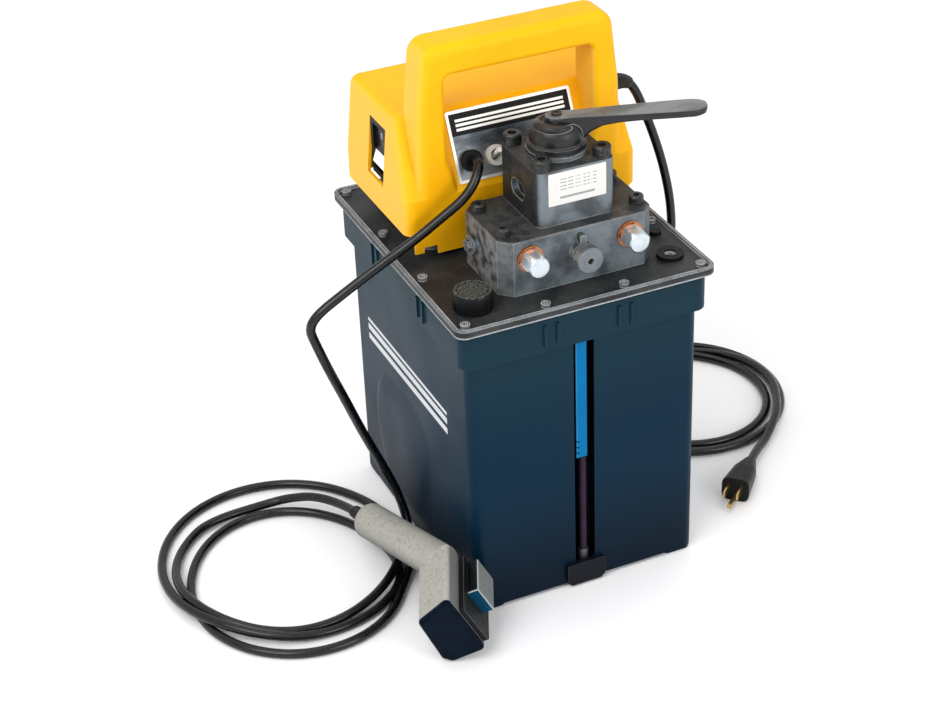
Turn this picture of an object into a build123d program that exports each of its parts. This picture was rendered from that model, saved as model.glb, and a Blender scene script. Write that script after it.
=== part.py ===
"""Portable electric hydraulic power unit: reservoir, lid, shrouded motor and pump, manifold,
four-way hand valve, mains lead and remote pendant on its coiled cord.

Millimetres, +Z up. The origin is the middle of the reservoir's base, on the floor.
-Y is the front, with the sight gauge; -X is the side with the pendant.
"""
from math import pi, radians, tan

from build123d import *
import os

os.makedirs("parts", exist_ok=True)

# ---- driving dimensions -------------------------------------------------------------------
FIT = 0.3            # gap between parts that do not bear on each other
SLIP = 0.05          # radial gap of a shaft or thread in its bore

# reservoir
LID_HALF_X = 122.0
LID_HALF_Y = 145.8
SKIRT_HALF_X = LID_HALF_X - 4.9
SKIRT_HALF_Y = LID_HALF_Y - 4.9
BODY_HALF_X = SKIRT_HALF_X - 6.6
BODY_HALF_Y = SKIRT_HALF_Y - 6.6
CORNER_R = 10.0
WALL = 3.0
FLOOR_WALL = 4.0
FOOT_H = 4.0
FOOT_SIZE = 28.0
FOOT_BOLT_X = 95.0
FOOT_BOLT_Y = 118.0
FOOT_HOLE_R = 2.5
FOOT_HOLE_DEPTH = 6.5
SKIRT_BOTTOM = 262.6
FLANGE_BOTTOM = 297.9
GASKET_T = 1.6
TANK_TOP = FLANGE_BOTTOM - GASKET_T
PLATE_TOP = 303.0
LIP_TOP = 305.6
LIP_W = 3.0

# lid screws
SCREW_X = 111.0
SCREW_Y = 134.5
SCREW_R = 2.5
SCREW_HEAD_R = 4.2
SCREW_HEAD_H = 3.6
SCREW_DEPTH = 16.0
SCREW_SPOTS = [(x, y) for x in (-SCREW_X, -37.0, 37.0, SCREW_X) for y in (-SCREW_Y, SCREW_Y)]
SCREW_SPOTS += [(x, y) for x in (-SCREW_X, SCREW_X) for y in (-45.0, 45.0)]

# sight gauge in a groove of the front wall
GAUGE_X = -1.8
GROOVE_W = 20.0
GROOVE_D = 13.0
GROOVE_BOTTOM = 24.0
TUBE_X = -0.5
STRIP_X = -4.0
STRIP_W = 9.8
TUBE_Y = -BODY_HALF_Y + 7.5
TUBE_R = 4.0
TUBE_LOW = 34.0
TUBE_HIGH = 250.0
STRIP_LOW = 139.0

# ports of the lid
FILLER = (-92.0, -108.5)
CAP_R = 17.2
CAP_TOP = PLATE_TOP + 19.0
NECK_R = 11.0
VENT = (96.0, -107.5)
VENT_R = 12.0
SMALL_PORT = (104.0, -66.0)
SMALL_PORT_R = 5.5

# shroud
SHROUD_HALF_X = 112.0
SHROUD_TOP_HALF_X = 105.0
SHROUD_FRONT = -16.0
SHROUD_BACK = 128.0
SIDE_BOTTOM = 329.0
SHOULDER = 362.0
ROOF = 428.0
ROOF_FRONT = 17.0
TONGUE_HALF_X = 104.7
TONGUE_GAP = 4.5
NOTCH_X = 89.6
NOTCH_W = 13.0
OUTER_FOOT_GAP = 8.0
SKIN = 3.0
HANDLE_BACK = 24.0
HANDLE_FOOT_HALF_X = 99.0
HANDLE_TOP = 499.5
HANDLE_TOP_HALF_X = 88.5
HANDLE_LOW_HALF_X = 96.0
HANDLE_LOW = 434.0
WINDOW_HALF_X = 70.0
WINDOW_TOP = 471.5
TONGUE_SCREWS = [(-50.0, PLATE_TOP + 9), (50.0, PLATE_TOP + 9)]

# leaning instrument face, from the shoulder to the roof
FACE_N = Vector(0, SHOULDER - ROOF, ROOF_FRONT - SHROUD_FRONT).normalized()
FACE_UP = Vector(0, ROOF_FRONT - SHROUD_FRONT, ROOF - SHOULDER).normalized()
PANEL_W = 119.0
PANEL_H = 63.0
PANEL_T = 1.2
GLAND_X = -45.0
GLAND_PROUD = 8.0
TOGGLE_X = -22.0
TOGGLE_LENGTH = 18.5
CONTROL_Z = 383.5

# main switch in the left wall
SWITCH_Y = 52.0
SWITCH_Z = 383.0
SWITCH_W = 36.0
SWITCH_H = 54.0
SWITCH_FACE = -107.0
ROCKER_PIVOT_X = -95.0
ROCKER_TILT = 8.0    # degrees about Y at rest, lower half out

# manifold
MANIFOLD_X = 8.0
MANIFOLD_HALF_X = 72.5
MANIFOLD_FRONT = -109.0
MANIFOLD_BACK = -24.0
MANIFOLD_TOP = PLATE_TOP + 51.0
MANIFOLD_CHAMFER = 11.0
MANIFOLD_SCREW_X = 63.0
MANIFOLD_SCREW_Y = (-91.5, -42.0)
PORT_SPACING = 94.0
PORT_Z = 337.0
PORT_R = 7.5
PLUG_HEAD = 19.0
PLUG_AF = 19.0
RELIEF_Z = 332.0

# valve
VALVE_X = 12.0
VALVE_Y = -59.0
VALVE_HALF = 37.2
VALVE_TOP = MANIFOLD_TOP + 51.0
VALVE_SCREW = 28.3
SHAFT_R = 8.0
ROTOR_R = 20.0
HUB_R = 25.0
HUB_LOW = VALVE_TOP + 4.3
LEVER_TOP = 437.5
LEVER_T = 7.0
LEVER_TILT = -18.5   # degrees about Z from +X, at rest
LEVER_REACH = 128.0
LEVER_W = 26.0

# motor and pump
MOTOR_X = 0.0
MOTOR_Y = 64.0
MOTOR_R = 44.0
MOTOR_LOW = 318.0
MOTOR_HIGH = 398.0
MOTOR_SHAFT_R = 5.0
PUMP_R = 40.0
PUMP_LOW = 232.0
ECCENTRIC = 2.0
ECCENTRIC_R = 12.0
PISTON_Z = 266.0
PRESSURE_PORT = (-22.0, -72.0)
RETURN_PORT = (38.0, -72.0)
PIPE_R = 4.0

# cords, coils and pendant
CORD_R = 4.25
POWER_GLAND_Y = 40.0
POWER_GLAND_Z = 404.0
POWER_START_X = 118.0
COIL_H = 13.0
PENDANT_COIL = (-240.0, 8.0)
PENDANT_COIL_OUTER = (118.0, 142.0)
PENDANT_COIL_INNER = (94.0, 77.0)
POWER_COIL = (228.0, 88.0)
POWER_COIL_OUTER = 108.5
POWER_COIL_INNER = 74.0
GRIP_END = Vector(-160.0, -3.0, 35.0)
ELBOW = Vector(-142.0, -128.0, 66.0)
HEAD_TIP = Vector(-169.8, -190.4, 52.3)
GRIP_R = 17.0
HEAD_CORNERS = [(7.1, 28.5), (37.9, -37.2), (9.2, -53.3), (-0.4, -48.9), (-18.9, -1.0)]
HEAD_BACK = 2.0
HEAD_WALL = 4.0
HEAD_CAP = 5.0
RELIEF_LENGTH = 34.0
PLUG_BACK = Vector(221.0, -52.0, 11.5)
PLUG_FRONT = Vector(183.0, -88.0, 13.2)


def corner_spots(half_x, half_y):
    """The four corners of a rectangle about the origin."""
    return [(sx * half_x, sy * half_y) for sx in (-1, 1) for sy in (-1, 1)]


def face_plane(x, z, proud=0.0):
    """A plane on the leaning face at x and height z, its normal pointing out."""
    y = SHROUD_FRONT + (z - SHOULDER) * (ROOF_FRONT - SHROUD_FRONT) / (ROOF - SHOULDER)
    origin = Vector(x, y, z) + FACE_N * proud
    return Plane(origin=origin, x_dir=(1, 0, 0), z_dir=FACE_N)


def bend_radii(points):
    """Each arc of a cord is as large as its two runs allow."""
    route = [Vector(*p) for p in points]
    radii = []
    for before, here, after in zip(route, route[1:], route[2:]):
        run_in = here - before
        run_out = after - here
        turn = radians(run_in.get_angle(run_out))
        radii.append(0.45 * min(run_in.length, run_out.length) / tan(turn / 2))
    return radii


def report_cord(name, tube, line, points):
    """Print a cord's bends, and its volume against its section times its length."""
    ratio = tube.volume / (pi * CORD_R**2 * line.length)
    print(name, "radii", [round(r) for r in bend_radii(points)], "length", round(line.length))
    print(name, "volume ratio", round(ratio, 4))


def publish(builder, name):
    """Label a finished piece and write its STEP file."""
    builder.part.label = name
    export_step(builder.part, f"parts/{name}.step")


# ---- reservoir ----------------------------------------------------------------------------
with BuildPart() as reservoir_tank:
    with BuildSketch(Plane.XY.offset(FOOT_H)):
        RectangleRounded(2 * BODY_HALF_X, 2 * BODY_HALF_Y, CORNER_R)
    extrude(amount=TANK_TOP - FOOT_H)
    with BuildSketch(Plane.XY.offset(SKIRT_BOTTOM)):
        RectangleRounded(2 * SKIRT_HALF_X, 2 * SKIRT_HALF_Y, CORNER_R + 2)
    extrude(amount=TANK_TOP - SKIRT_BOTTOM)
    # corner feet
    with BuildSketch(Plane.XY):
        with Locations(*corner_spots(FOOT_BOLT_X, FOOT_BOLT_Y)):
            RectangleRounded(FOOT_SIZE, FOOT_SIZE, 6)
    extrude(amount=FOOT_H)
    # gauge groove, open to the front
    with BuildSketch(Plane.XY.offset(GROOVE_BOTTOM)):
        with Locations((GAUGE_X, -BODY_HALF_Y)):
            Rectangle(GROOVE_W, 2 * GROOVE_D)
    extrude(amount=SKIRT_BOTTOM - GROOVE_BOTTOM, mode=Mode.SUBTRACT)
    # oil space, leaving a wall round the groove
    with BuildSketch(Plane.XY.offset(FOOT_H + FLOOR_WALL)):
        RectangleRounded(2 * (BODY_HALF_X - WALL), 2 * (BODY_HALF_Y - WALL), CORNER_R - WALL)
        with Locations((GAUGE_X, -BODY_HALF_Y)):
            Rectangle(GROOVE_W + 2 * WALL, 2 * (GROOVE_D + WALL), mode=Mode.SUBTRACT)
    extrude(amount=TANK_TOP, mode=Mode.SUBTRACT)
    # paired ribs on the skirt
    with BuildSketch(Plane.XY.offset(SKIRT_BOTTOM + 6)):
        for side in (-1, 1):
            with Locations((-41, side * SKIRT_HALF_Y), (-29, side * SKIRT_HALF_Y)):
                Rectangle(3, 4)
            with Locations((29, side * SKIRT_HALF_Y), (41, side * SKIRT_HALF_Y)):
                Rectangle(3, 4)
            with Locations((side * SKIRT_HALF_X, -58), (side * SKIRT_HALF_X, -46)):
                Rectangle(4, 3)
            with Locations((side * SKIRT_HALF_X, 46), (side * SKIRT_HALF_X, 58)):
                Rectangle(4, 3)
    extrude(amount=20)
    # threaded holes: lid screws above, mounting bolts in the feet
    with BuildSketch(Plane.XY.offset(TANK_TOP)):
        with Locations(*SCREW_SPOTS):
            Circle(SCREW_R)
    extrude(amount=-SCREW_DEPTH, mode=Mode.SUBTRACT)
    with BuildSketch(Plane.XY):
        with Locations(*corner_spots(FOOT_BOLT_X, FOOT_BOLT_Y)):
            Circle(FOOT_HOLE_R)
    extrude(amount=FOOT_HOLE_DEPTH, mode=Mode.SUBTRACT)
    # gauge connections through the back of the groove
    with BuildSketch(Plane.XZ.offset(BODY_HALF_Y)):
        with Locations((TUBE_X, TUBE_LOW - 5), (TUBE_X, TUBE_HIGH + 5)):
            Circle(2.5)
    extrude(amount=-(GROOVE_D + WALL), mode=Mode.SUBTRACT)
publish(reservoir_tank, "reservoir_tank")

with BuildPart() as lid_gasket:
    with BuildSketch(Plane.XY.offset(TANK_TOP)):
        RectangleRounded(2 * SKIRT_HALF_X, 2 * SKIRT_HALF_Y, CORNER_R + 2)
        RectangleRounded(
            2 * (BODY_HALF_X - WALL), 2 * (BODY_HALF_Y - WALL), CORNER_R - WALL, mode=Mode.SUBTRACT
        )
        with Locations(*SCREW_SPOTS):
            Circle(SCREW_R + SLIP, mode=Mode.SUBTRACT)
    extrude(amount=GASKET_T)
publish(lid_gasket, "lid_gasket")

MANIFOLD_SCREWS = [
    (MANIFOLD_X + side * MANIFOLD_SCREW_X, y) for side in (-1, 1) for y in MANIFOLD_SCREW_Y
]
with BuildPart() as lid_plate:
    with BuildSketch(Plane.XY.offset(FLANGE_BOTTOM)):
        RectangleRounded(2 * LID_HALF_X, 2 * LID_HALF_Y, CORNER_R)
    extrude(amount=LIP_TOP - FLANGE_BOTTOM)
    rim = lid_plate.faces().sort_by(Axis.Z)[-1].edges()
    fillet(rim, radius=1.0)
    with BuildSketch(Plane.XY.offset(LIP_TOP)):
        RectangleRounded(
            2 * (LID_HALF_X - LIP_W), 2 * (LID_HALF_Y - LIP_W), CORNER_R - LIP_W
        )
    extrude(amount=PLATE_TOP - LIP_TOP, mode=Mode.SUBTRACT)
    with BuildSketch(Plane.XY.offset(PLATE_TOP)):
        with Locations(*SCREW_SPOTS):
            Circle(SCREW_R + 0.3)
        with Locations(*MANIFOLD_SCREWS):
            Circle(4.0)
        with Locations(FILLER):
            Circle(NECK_R)
        with Locations(VENT):
            Circle(8)
        with Locations(SMALL_PORT):
            Circle(3.5)
        with Locations((MOTOR_X, MOTOR_Y)):
            Circle(12)
        with Locations(PRESSURE_PORT, RETURN_PORT):
            Circle(PIPE_R)
    extrude(amount=FLANGE_BOTTOM - PLATE_TOP, mode=Mode.SUBTRACT)
publish(lid_plate, "lid_plate")

with BuildPart() as lid_screws:
    with BuildSketch(Plane.XY.offset(PLATE_TOP)):
        with Locations(*SCREW_SPOTS):
            Circle(SCREW_HEAD_R)
    extrude(amount=SCREW_HEAD_H)
    with BuildSketch(Plane.XY.offset(PLATE_TOP)):
        with Locations(*SCREW_SPOTS):
            Circle(SCREW_R - SLIP)
    extrude(amount=TANK_TOP - PLATE_TOP - SCREW_DEPTH + 2)
    with BuildSketch(Plane.XY.offset(PLATE_TOP + SCREW_HEAD_H)):
        with Locations(*SCREW_SPOTS):
            RegularPolygon(2.1, 6)
    extrude(amount=-2.2, mode=Mode.SUBTRACT)
publish(lid_screws, "lid_screws")

# ---- sight gauge --------------------------------------------------------------------------
with BuildPart() as sight_tube:
    with BuildSketch(Plane.XY.offset(TUBE_LOW)):
        with Locations((TUBE_X, TUBE_Y)):
            Circle(TUBE_R)
            Circle(TUBE_R - 1.2, mode=Mode.SUBTRACT)
    extrude(amount=TUBE_HIGH - TUBE_LOW)
publish(sight_tube, "sight_tube")

with BuildPart() as level_strip:
    with BuildSketch(Plane.XY.offset(STRIP_LOW)):
        with Locations((STRIP_X, -BODY_HALF_Y + 1.4)):
            Rectangle(STRIP_W, 1.8)
    extrude(amount=SKIRT_BOTTOM - 5 - STRIP_LOW)
    # scale notches at the left edge, near the oil mark
    for step in range(3):
        with BuildSketch(Plane.XY.offset(STRIP_LOW + 4 + 6 * step)):
            with Locations((STRIP_X - STRIP_W / 2, -BODY_HALF_Y + 1.4)):
                Rectangle(5, 4)
        extrude(amount=1.6, mode=Mode.SUBTRACT)
publish(level_strip, "level_strip")

with BuildPart() as gauge_fittings:
    for low, pin_z in ((TUBE_LOW - 10, TUBE_LOW - 5), (TUBE_HIGH, TUBE_HIGH + 5)):
        with BuildSketch(Plane.XY.offset(low)):
            with Locations((TUBE_X, TUBE_Y)):
                Circle(4.8)
        extrude(amount=10)
        with BuildSketch(Plane.XZ.offset(-TUBE_Y)):
            with Locations((TUBE_X, pin_z)):
                Circle(2.5 - SLIP)
        extrude(amount=-(GROOVE_D + WALL - 8))
publish(gauge_fittings, "gauge_fittings")

with BuildPart() as gauge_bracket:
    with BuildSketch(Plane.XZ.offset(BODY_HALF_Y)):
        with Locations((-2.5, 14.0)):
            Rectangle(38, 23)
    extrude(amount=4)
    low_corners = gauge_bracket.edges().filter_by(Axis.Y).group_by(Axis.Z)[0]
    chamfer(low_corners, length=4)
    top_corners = gauge_bracket.edges().filter_by(Axis.Y).group_by(Axis.Z)[-1]
    fillet(top_corners, radius=1.5)
publish(gauge_bracket, "gauge_bracket")

# ---- lid fittings -------------------------------------------------------------------------
with BuildPart() as filler_neck:
    with BuildSketch(Plane.XY.offset(FLANGE_BOTTOM - 12)):
        with Locations(FILLER):
            Circle(NECK_R - SLIP)
            Circle(NECK_R - 2.5, mode=Mode.SUBTRACT)
    extrude(amount=PLATE_TOP + 9 - FLANGE_BOTTOM + 12)
publish(filler_neck, "filler_neck")

with BuildPart() as filler_cap:
    with BuildSketch(Plane.XY.offset(PLATE_TOP + FIT)):
        with Locations(FILLER):
            Circle(CAP_R)
    extrude(amount=CAP_TOP - PLATE_TOP - FIT)
    fillet(filler_cap.faces().sort_by(Axis.Z)[-1].edges(), radius=1.5)
    with BuildSketch(Plane.XY.offset(PLATE_TOP + FIT)):
        with Locations(FILLER):
            Circle(NECK_R + FIT)
    extrude(amount=11.5, mode=Mode.SUBTRACT)
publish(filler_cap, "filler_cap")

with BuildPart() as lid_port_plugs:
    with BuildSketch(Plane.XY.offset(PLATE_TOP)):
        with Locations(VENT):
            Circle(VENT_R)
            Circle(5.5, mode=Mode.SUBTRACT)
        with Locations(SMALL_PORT):
            Circle(SMALL_PORT_R)
    extrude(amount=4)
    with BuildSketch(Plane.XY.offset(PLATE_TOP)):
        with Locations(VENT):
            Circle(8 - SLIP)
            Circle(5.5, mode=Mode.SUBTRACT)
        with Locations(SMALL_PORT):
            Circle(3.5 - SLIP)
    extrude(amount=FLANGE_BOTTOM - PLATE_TOP - 3)
publish(lid_port_plugs, "lid_port_plugs")

with BuildPart() as vent_insert:
    with BuildSketch(Plane.XY.offset(FLANGE_BOTTOM - 3)):
        with Locations(VENT):
            Circle(5.5 - SLIP)
    extrude(amount=PLATE_TOP + 2 - FLANGE_BOTTOM + 3)
    with BuildSketch(Plane.XY.offset(PLATE_TOP + 2)):
        with Locations(VENT):
            RegularPolygon(2.6, 6)
    extrude(amount=-4, mode=Mode.SUBTRACT)
publish(vent_insert, "vent_insert")

# ---- shroud with its loop handle ----------------------------------------------------------
with BuildPart() as handle_loop:
    with BuildSketch(Plane.XZ.offset(-HANDLE_BACK)) as handle_outline:
        with BuildLine():
            Polyline(
                (-HANDLE_FOOT_HALF_X, SIDE_BOTTOM + 6),
                (-HANDLE_LOW_HALF_X, HANDLE_LOW),
                (-HANDLE_TOP_HALF_X, HANDLE_TOP),
                (HANDLE_TOP_HALF_X, HANDLE_TOP),
                (HANDLE_LOW_HALF_X, HANDLE_LOW),
                (HANDLE_FOOT_HALF_X, SIDE_BOTTOM + 6),
                close=True,
            )
        make_face()
        fillet(handle_outline.vertices().group_by(Axis.Y)[-1], radius=16)
    extrude(amount=HANDLE_BACK - SHROUD_FRONT)
    outer_rims = handle_loop.faces().filter_by(Axis.Y).edges().filter_by(
        lambda edge: edge.center().Z > SIDE_BOTTOM + 10
    )
    fillet(outer_rims, radius=9)
    with BuildSketch(Plane.XZ.offset(-HANDLE_BACK)) as window:
        with BuildLine():
            Polyline(
                (-61, SIDE_BOTTOM + 20),
                (-61, SHOULDER + 4),
                (-WINDOW_HALF_X, SHOULDER + 32),
                (-WINDOW_HALF_X, WINDOW_TOP),
                (WINDOW_HALF_X, WINDOW_TOP),
                (WINDOW_HALF_X, SHOULDER + 32),
                (61, SHOULDER + 4),
                (61, SIDE_BOTTOM + 20),
                close=True,
            )
        make_face()
        fillet(window.vertices().group_by(Axis.Y)[-1], radius=7)
    extrude(amount=HANDLE_BACK - SHROUD_FRONT, mode=Mode.SUBTRACT)
    window_rims = handle_loop.faces().filter_by(Axis.Y).edges().filter_by(
        lambda edge: edge.center().Z > SHOULDER + 5 and abs(edge.center().X) < WINDOW_HALF_X + 1
    )
    fillet(window_rims, radius=5)

with BuildPart() as shroud_body:
    with BuildSketch(Plane.YZ.offset(-SHROUD_HALF_X)) as side_outline:
        with BuildLine():
            Polyline(
                (SHROUD_FRONT, PLATE_TOP + FIT),
                (SHROUD_FRONT, SHOULDER),
                (ROOF_FRONT, ROOF),
                (SHROUD_BACK - 3, ROOF),
                (SHROUD_BACK, SIDE_BOTTOM),
                (SHROUD_BACK, PLATE_TOP + FIT),
                close=True,
            )
        make_face()
    extrude(amount=2 * SHROUD_HALF_X)
    with BuildSketch(Plane.XZ.offset(-SHROUD_BACK - 1)) as front_outline:
        with BuildLine():
            Polyline(
                (-SHROUD_HALF_X, PLATE_TOP),
                (-SHROUD_HALF_X, SHOULDER - 4),
                (-SHROUD_TOP_HALF_X, ROOF),
                (SHROUD_TOP_HALF_X, ROOF),
                (SHROUD_HALF_X, SHOULDER - 4),
                (SHROUD_HALF_X, PLATE_TOP),
                close=True,
            )
        make_face()
    extrude(amount=SHROUD_BACK - SHROUD_FRONT + 2, mode=Mode.INTERSECT)
    uprights = shroud_body.edges().filter_by(lambda edge: abs(edge.center().X) > 100)
    fillet(uprights.filter_by(lambda edge: edge.center().Z > PLATE_TOP + 2), radius=10)
    fillet(
        shroud_body.edges().filter_by(Axis.X).filter_by(lambda edge: edge.center().Z > ROOF - 2),
        radius=8,
    )

with BuildPart() as shroud_cavity:
    with BuildSketch(Plane.YZ.offset(-SHROUD_HALF_X + SKIN)):
        with BuildLine():
            Polyline(
                (SHROUD_FRONT + SKIN, PLATE_TOP),
                (SHROUD_FRONT + SKIN, SHOULDER),
                (ROOF_FRONT + SKIN, ROOF - SKIN),
                (SHROUD_BACK - SKIN - 4, ROOF - SKIN),
                (SHROUD_BACK - SKIN, SIDE_BOTTOM),
                (SHROUD_BACK - SKIN, PLATE_TOP),
                close=True,
            )
        make_face()
    extrude(amount=2 * (SHROUD_HALF_X - SKIN))
    with BuildSketch(Plane.XZ.offset(-SHROUD_BACK)):
        with BuildLine():
            Polyline(
                (-SHROUD_HALF_X + SKIN, PLATE_TOP),
                (-SHROUD_HALF_X + SKIN, SHOULDER - 4),
                (-SHROUD_TOP_HALF_X + SKIN, ROOF - SKIN),
                (SHROUD_TOP_HALF_X - SKIN, ROOF - SKIN),
                (SHROUD_HALF_X - SKIN, SHOULDER - 4),
                (SHROUD_HALF_X - SKIN, PLATE_TOP),
                close=True,
            )
        make_face()
    extrude(amount=SHROUD_BACK - SHROUD_FRONT, mode=Mode.INTERSECT)
    inner_uprights = shroud_cavity.edges().filter_by(lambda edge: abs(edge.center().X) > 98)
    fillet(inner_uprights.filter_by(lambda edge: edge.center().Z > PLATE_TOP + 2), radius=7)

with BuildPart() as shroud:
    add(handle_loop.part)
    add(shroud_body.part)
    add(shroud_cavity.part, mode=Mode.SUBTRACT)
    # the side and back walls stop above the lid, for cooling air
    with BuildSketch(Plane.XY.offset(PLATE_TOP)):
        with Locations((0, SHROUD_BACK - 66)):
            Rectangle(2 * SHROUD_HALF_X + 2, 2 * 66 + 20)
    extrude(amount=SIDE_BOTTOM - PLATE_TOP, mode=Mode.SUBTRACT)
    with BuildSketch(Plane.XY.offset(PLATE_TOP)):
        for side in (-1, 1):
            with Locations((side * (TONGUE_HALF_X + 10), SHROUD_FRONT + 10)):
                Rectangle(20, 24)
            with Locations((side * (NOTCH_X + 10), SHROUD_FRONT + 2)):
                Rectangle(20, 12)
    extrude(amount=OUTER_FOOT_GAP, mode=Mode.SUBTRACT)
    with BuildSketch(Plane.XY.offset(PLATE_TOP)):
        for side in (-1, 1):
            with Locations((side * NOTCH_X, SHROUD_FRONT + 2)):
                Rectangle(NOTCH_W, 12)
    extrude(amount=13, mode=Mode.SUBTRACT)
    with BuildSketch(Plane.XY.offset(PLATE_TOP)):
        with Locations((0, SHROUD_FRONT + 2)):
            Rectangle(2 * TONGUE_HALF_X, 12)
    extrude(amount=TONGUE_GAP, mode=Mode.SUBTRACT)
    with BuildSketch(Plane.XY.offset(PLATE_TOP + 8)):
        for side in (-1, 1):
            with Locations((side * (TONGUE_HALF_X + 10), SHROUD_FRONT + 10)):
                Rectangle(20, 24)
    extrude(amount=SIDE_BOTTOM - PLATE_TOP - 8, mode=Mode.SUBTRACT)
    # main switch opening in the left wall
    with BuildSketch(Plane.YZ.offset(-SHROUD_HALF_X - 1)):
        with Locations((SWITCH_Y, SWITCH_Z)):
            Rectangle(SWITCH_W, SWITCH_H)
    extrude(amount=10, mode=Mode.SUBTRACT)
    # pendant gland and toggle holes in the leaning face
    with BuildSketch(face_plane(0, CONTROL_Z, 2)):
        with Locations((GLAND_X, 0)):
            Circle(6.2)
        with Locations((TOGGLE_X, 0)):
            Circle(5.2)
    extrude(amount=-12, mode=Mode.SUBTRACT)
    # mains gland hole in the right wall
    with BuildSketch(Plane.YZ.offset(SHROUD_HALF_X + 1)):
        with Locations((POWER_GLAND_Y, POWER_GLAND_Z)):
            Circle(7.2)
    extrude(amount=-14, mode=Mode.SUBTRACT)
    # louvres in the back wall
    with BuildSketch(Plane.XZ.offset(-SHROUD_BACK - 2)):
        with GridLocations(0, 10, 1, 6):
            with Locations((0, 375)):
                SlotOverall(110, 4)
    extrude(amount=10, mode=Mode.SUBTRACT)
    # cap screw holes of the tongue
    with BuildSketch(Plane.XZ.offset(-SHROUD_FRONT + 1)):
        with Locations(*TONGUE_SCREWS):
            Circle(2.2)
    extrude(amount=-6, mode=Mode.SUBTRACT)
publish(shroud, "shroud")

# ---- motor base, motor and electrics under the shroud -------------------------------------
with BuildPart() as motor_base:
    with BuildSketch(Plane.XY.offset(PLATE_TOP)):
        with Locations((MOTOR_X, MOTOR_Y - 4)):
            RectangleRounded(180, 122, 10)
    extrude(amount=6)
    with BuildSketch(Plane.XY.offset(PLATE_TOP)):
        with Locations((MOTOR_X, MOTOR_Y)):
            Circle(48)
    extrude(amount=MOTOR_LOW - PLATE_TOP)
    # lugs that the shroud's front tongue is screwed to
    with BuildSketch(Plane.XY.offset(PLATE_TOP)):
        with Locations((-50, -3.8), (50, -3.8)):
            Rectangle(12, 18)
    extrude(amount=16)
    with BuildSketch(Plane.XY.offset(PLATE_TOP)):
        with Locations((MOTOR_X, MOTOR_Y)):
            Circle(12)
    extrude(amount=MOTOR_LOW - PLATE_TOP, mode=Mode.SUBTRACT)
    with BuildSketch(Plane.XZ.offset(12.8)):
        with Locations(*TONGUE_SCREWS):
            Circle(2.0)
    extrude(amount=-8, mode=Mode.SUBTRACT)
publish(motor_base, "motor_base")

with BuildPart() as shroud_screws:
    with BuildSketch(Plane.XZ.offset(-SHROUD_FRONT)):
        with Locations(*TONGUE_SCREWS):
            Circle(3.8)
    extrude(amount=2.6)
    with BuildSketch(Plane.XZ.offset(-SHROUD_FRONT)):
        with Locations(*TONGUE_SCREWS):
            Circle(2.0 - SLIP)
    extrude(amount=-9)
publish(shroud_screws, "shroud_screws")

with BuildPart() as motor_housing:
    with BuildSketch(Plane.XY.offset(MOTOR_LOW)):
        with Locations((MOTOR_X, MOTOR_Y)):
            Circle(MOTOR_R)
    extrude(amount=MOTOR_HIGH - MOTOR_LOW)
    with BuildSketch(Plane.XY.offset(MOTOR_LOW + 8)):
        with Locations((MOTOR_X, MOTOR_Y)):
            Circle(MOTOR_R - 4)
    extrude(amount=MOTOR_HIGH - MOTOR_LOW, mode=Mode.SUBTRACT)
    with BuildSketch(Plane.XY.offset(MOTOR_LOW)):
        with Locations((MOTOR_X, MOTOR_Y)):
            Circle(11)
    extrude(amount=8, mode=Mode.SUBTRACT)
    with BuildSketch(Plane.XY.offset(MOTOR_HIGH - 18)):
        with Locations((MOTOR_X, MOTOR_Y)):
            with PolarLocations(MOTOR_R - 2, 6):
                Rectangle(8, 14)
    extrude(amount=10, mode=Mode.SUBTRACT)
publish(motor_housing, "motor_housing")

with BuildPart() as motor_stator:
    with BuildSketch(Plane.XY.offset(MOTOR_LOW + 12)):
        with Locations((MOTOR_X, MOTOR_Y)):
            Circle(MOTOR_R - 4)
            Circle(27, mode=Mode.SUBTRACT)
    extrude(amount=48)
publish(motor_stator, "motor_stator")

with BuildPart() as motor_end_cap:
    with BuildSketch(Plane.XY.offset(MOTOR_HIGH)):
        with Locations((MOTOR_X, MOTOR_Y)):
            Circle(MOTOR_R)
            Circle(11, mode=Mode.SUBTRACT)
    extrude(amount=7)
publish(motor_end_cap, "motor_end_cap")

with BuildPart() as motor_bearings:
    for low in (MOTOR_LOW, MOTOR_HIGH):
        with BuildSketch(Plane.XY.offset(low)):
            with Locations((MOTOR_X, MOTOR_Y)):
                Circle(11)
                Circle(MOTOR_SHAFT_R + SLIP, mode=Mode.SUBTRACT)
        extrude(amount=7)
publish(motor_bearings, "motor_bearings")

with BuildPart() as motor_rotor:
    with BuildSketch(Plane.XY.offset(PUMP_LOW + 10)):
        with Locations((MOTOR_X, MOTOR_Y)):
            Circle(MOTOR_SHAFT_R)
    extrude(amount=MOTOR_HIGH + 18 - PUMP_LOW - 10)
    with BuildSketch(Plane.XY.offset(MOTOR_LOW + 12)):
        with Locations((MOTOR_X, MOTOR_Y)):
            Circle(26)
            with PolarLocations(25, 12):
                Rectangle(6, 3, mode=Mode.SUBTRACT)
    extrude(amount=48)
    # commutator
    with BuildSketch(Plane.XY.offset(MOTOR_LOW + 60)):
        with Locations((MOTOR_X, MOTOR_Y)):
            Circle(13)
    extrude(amount=12)
    # eccentric journal that drives the pistons
    with BuildSketch(Plane.XY.offset(PISTON_Z - 8)):
        with Locations((MOTOR_X + ECCENTRIC, MOTOR_Y)):
            Circle(ECCENTRIC_R)
    extrude(amount=16)
publish(motor_rotor, "motor_rotor")

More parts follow.
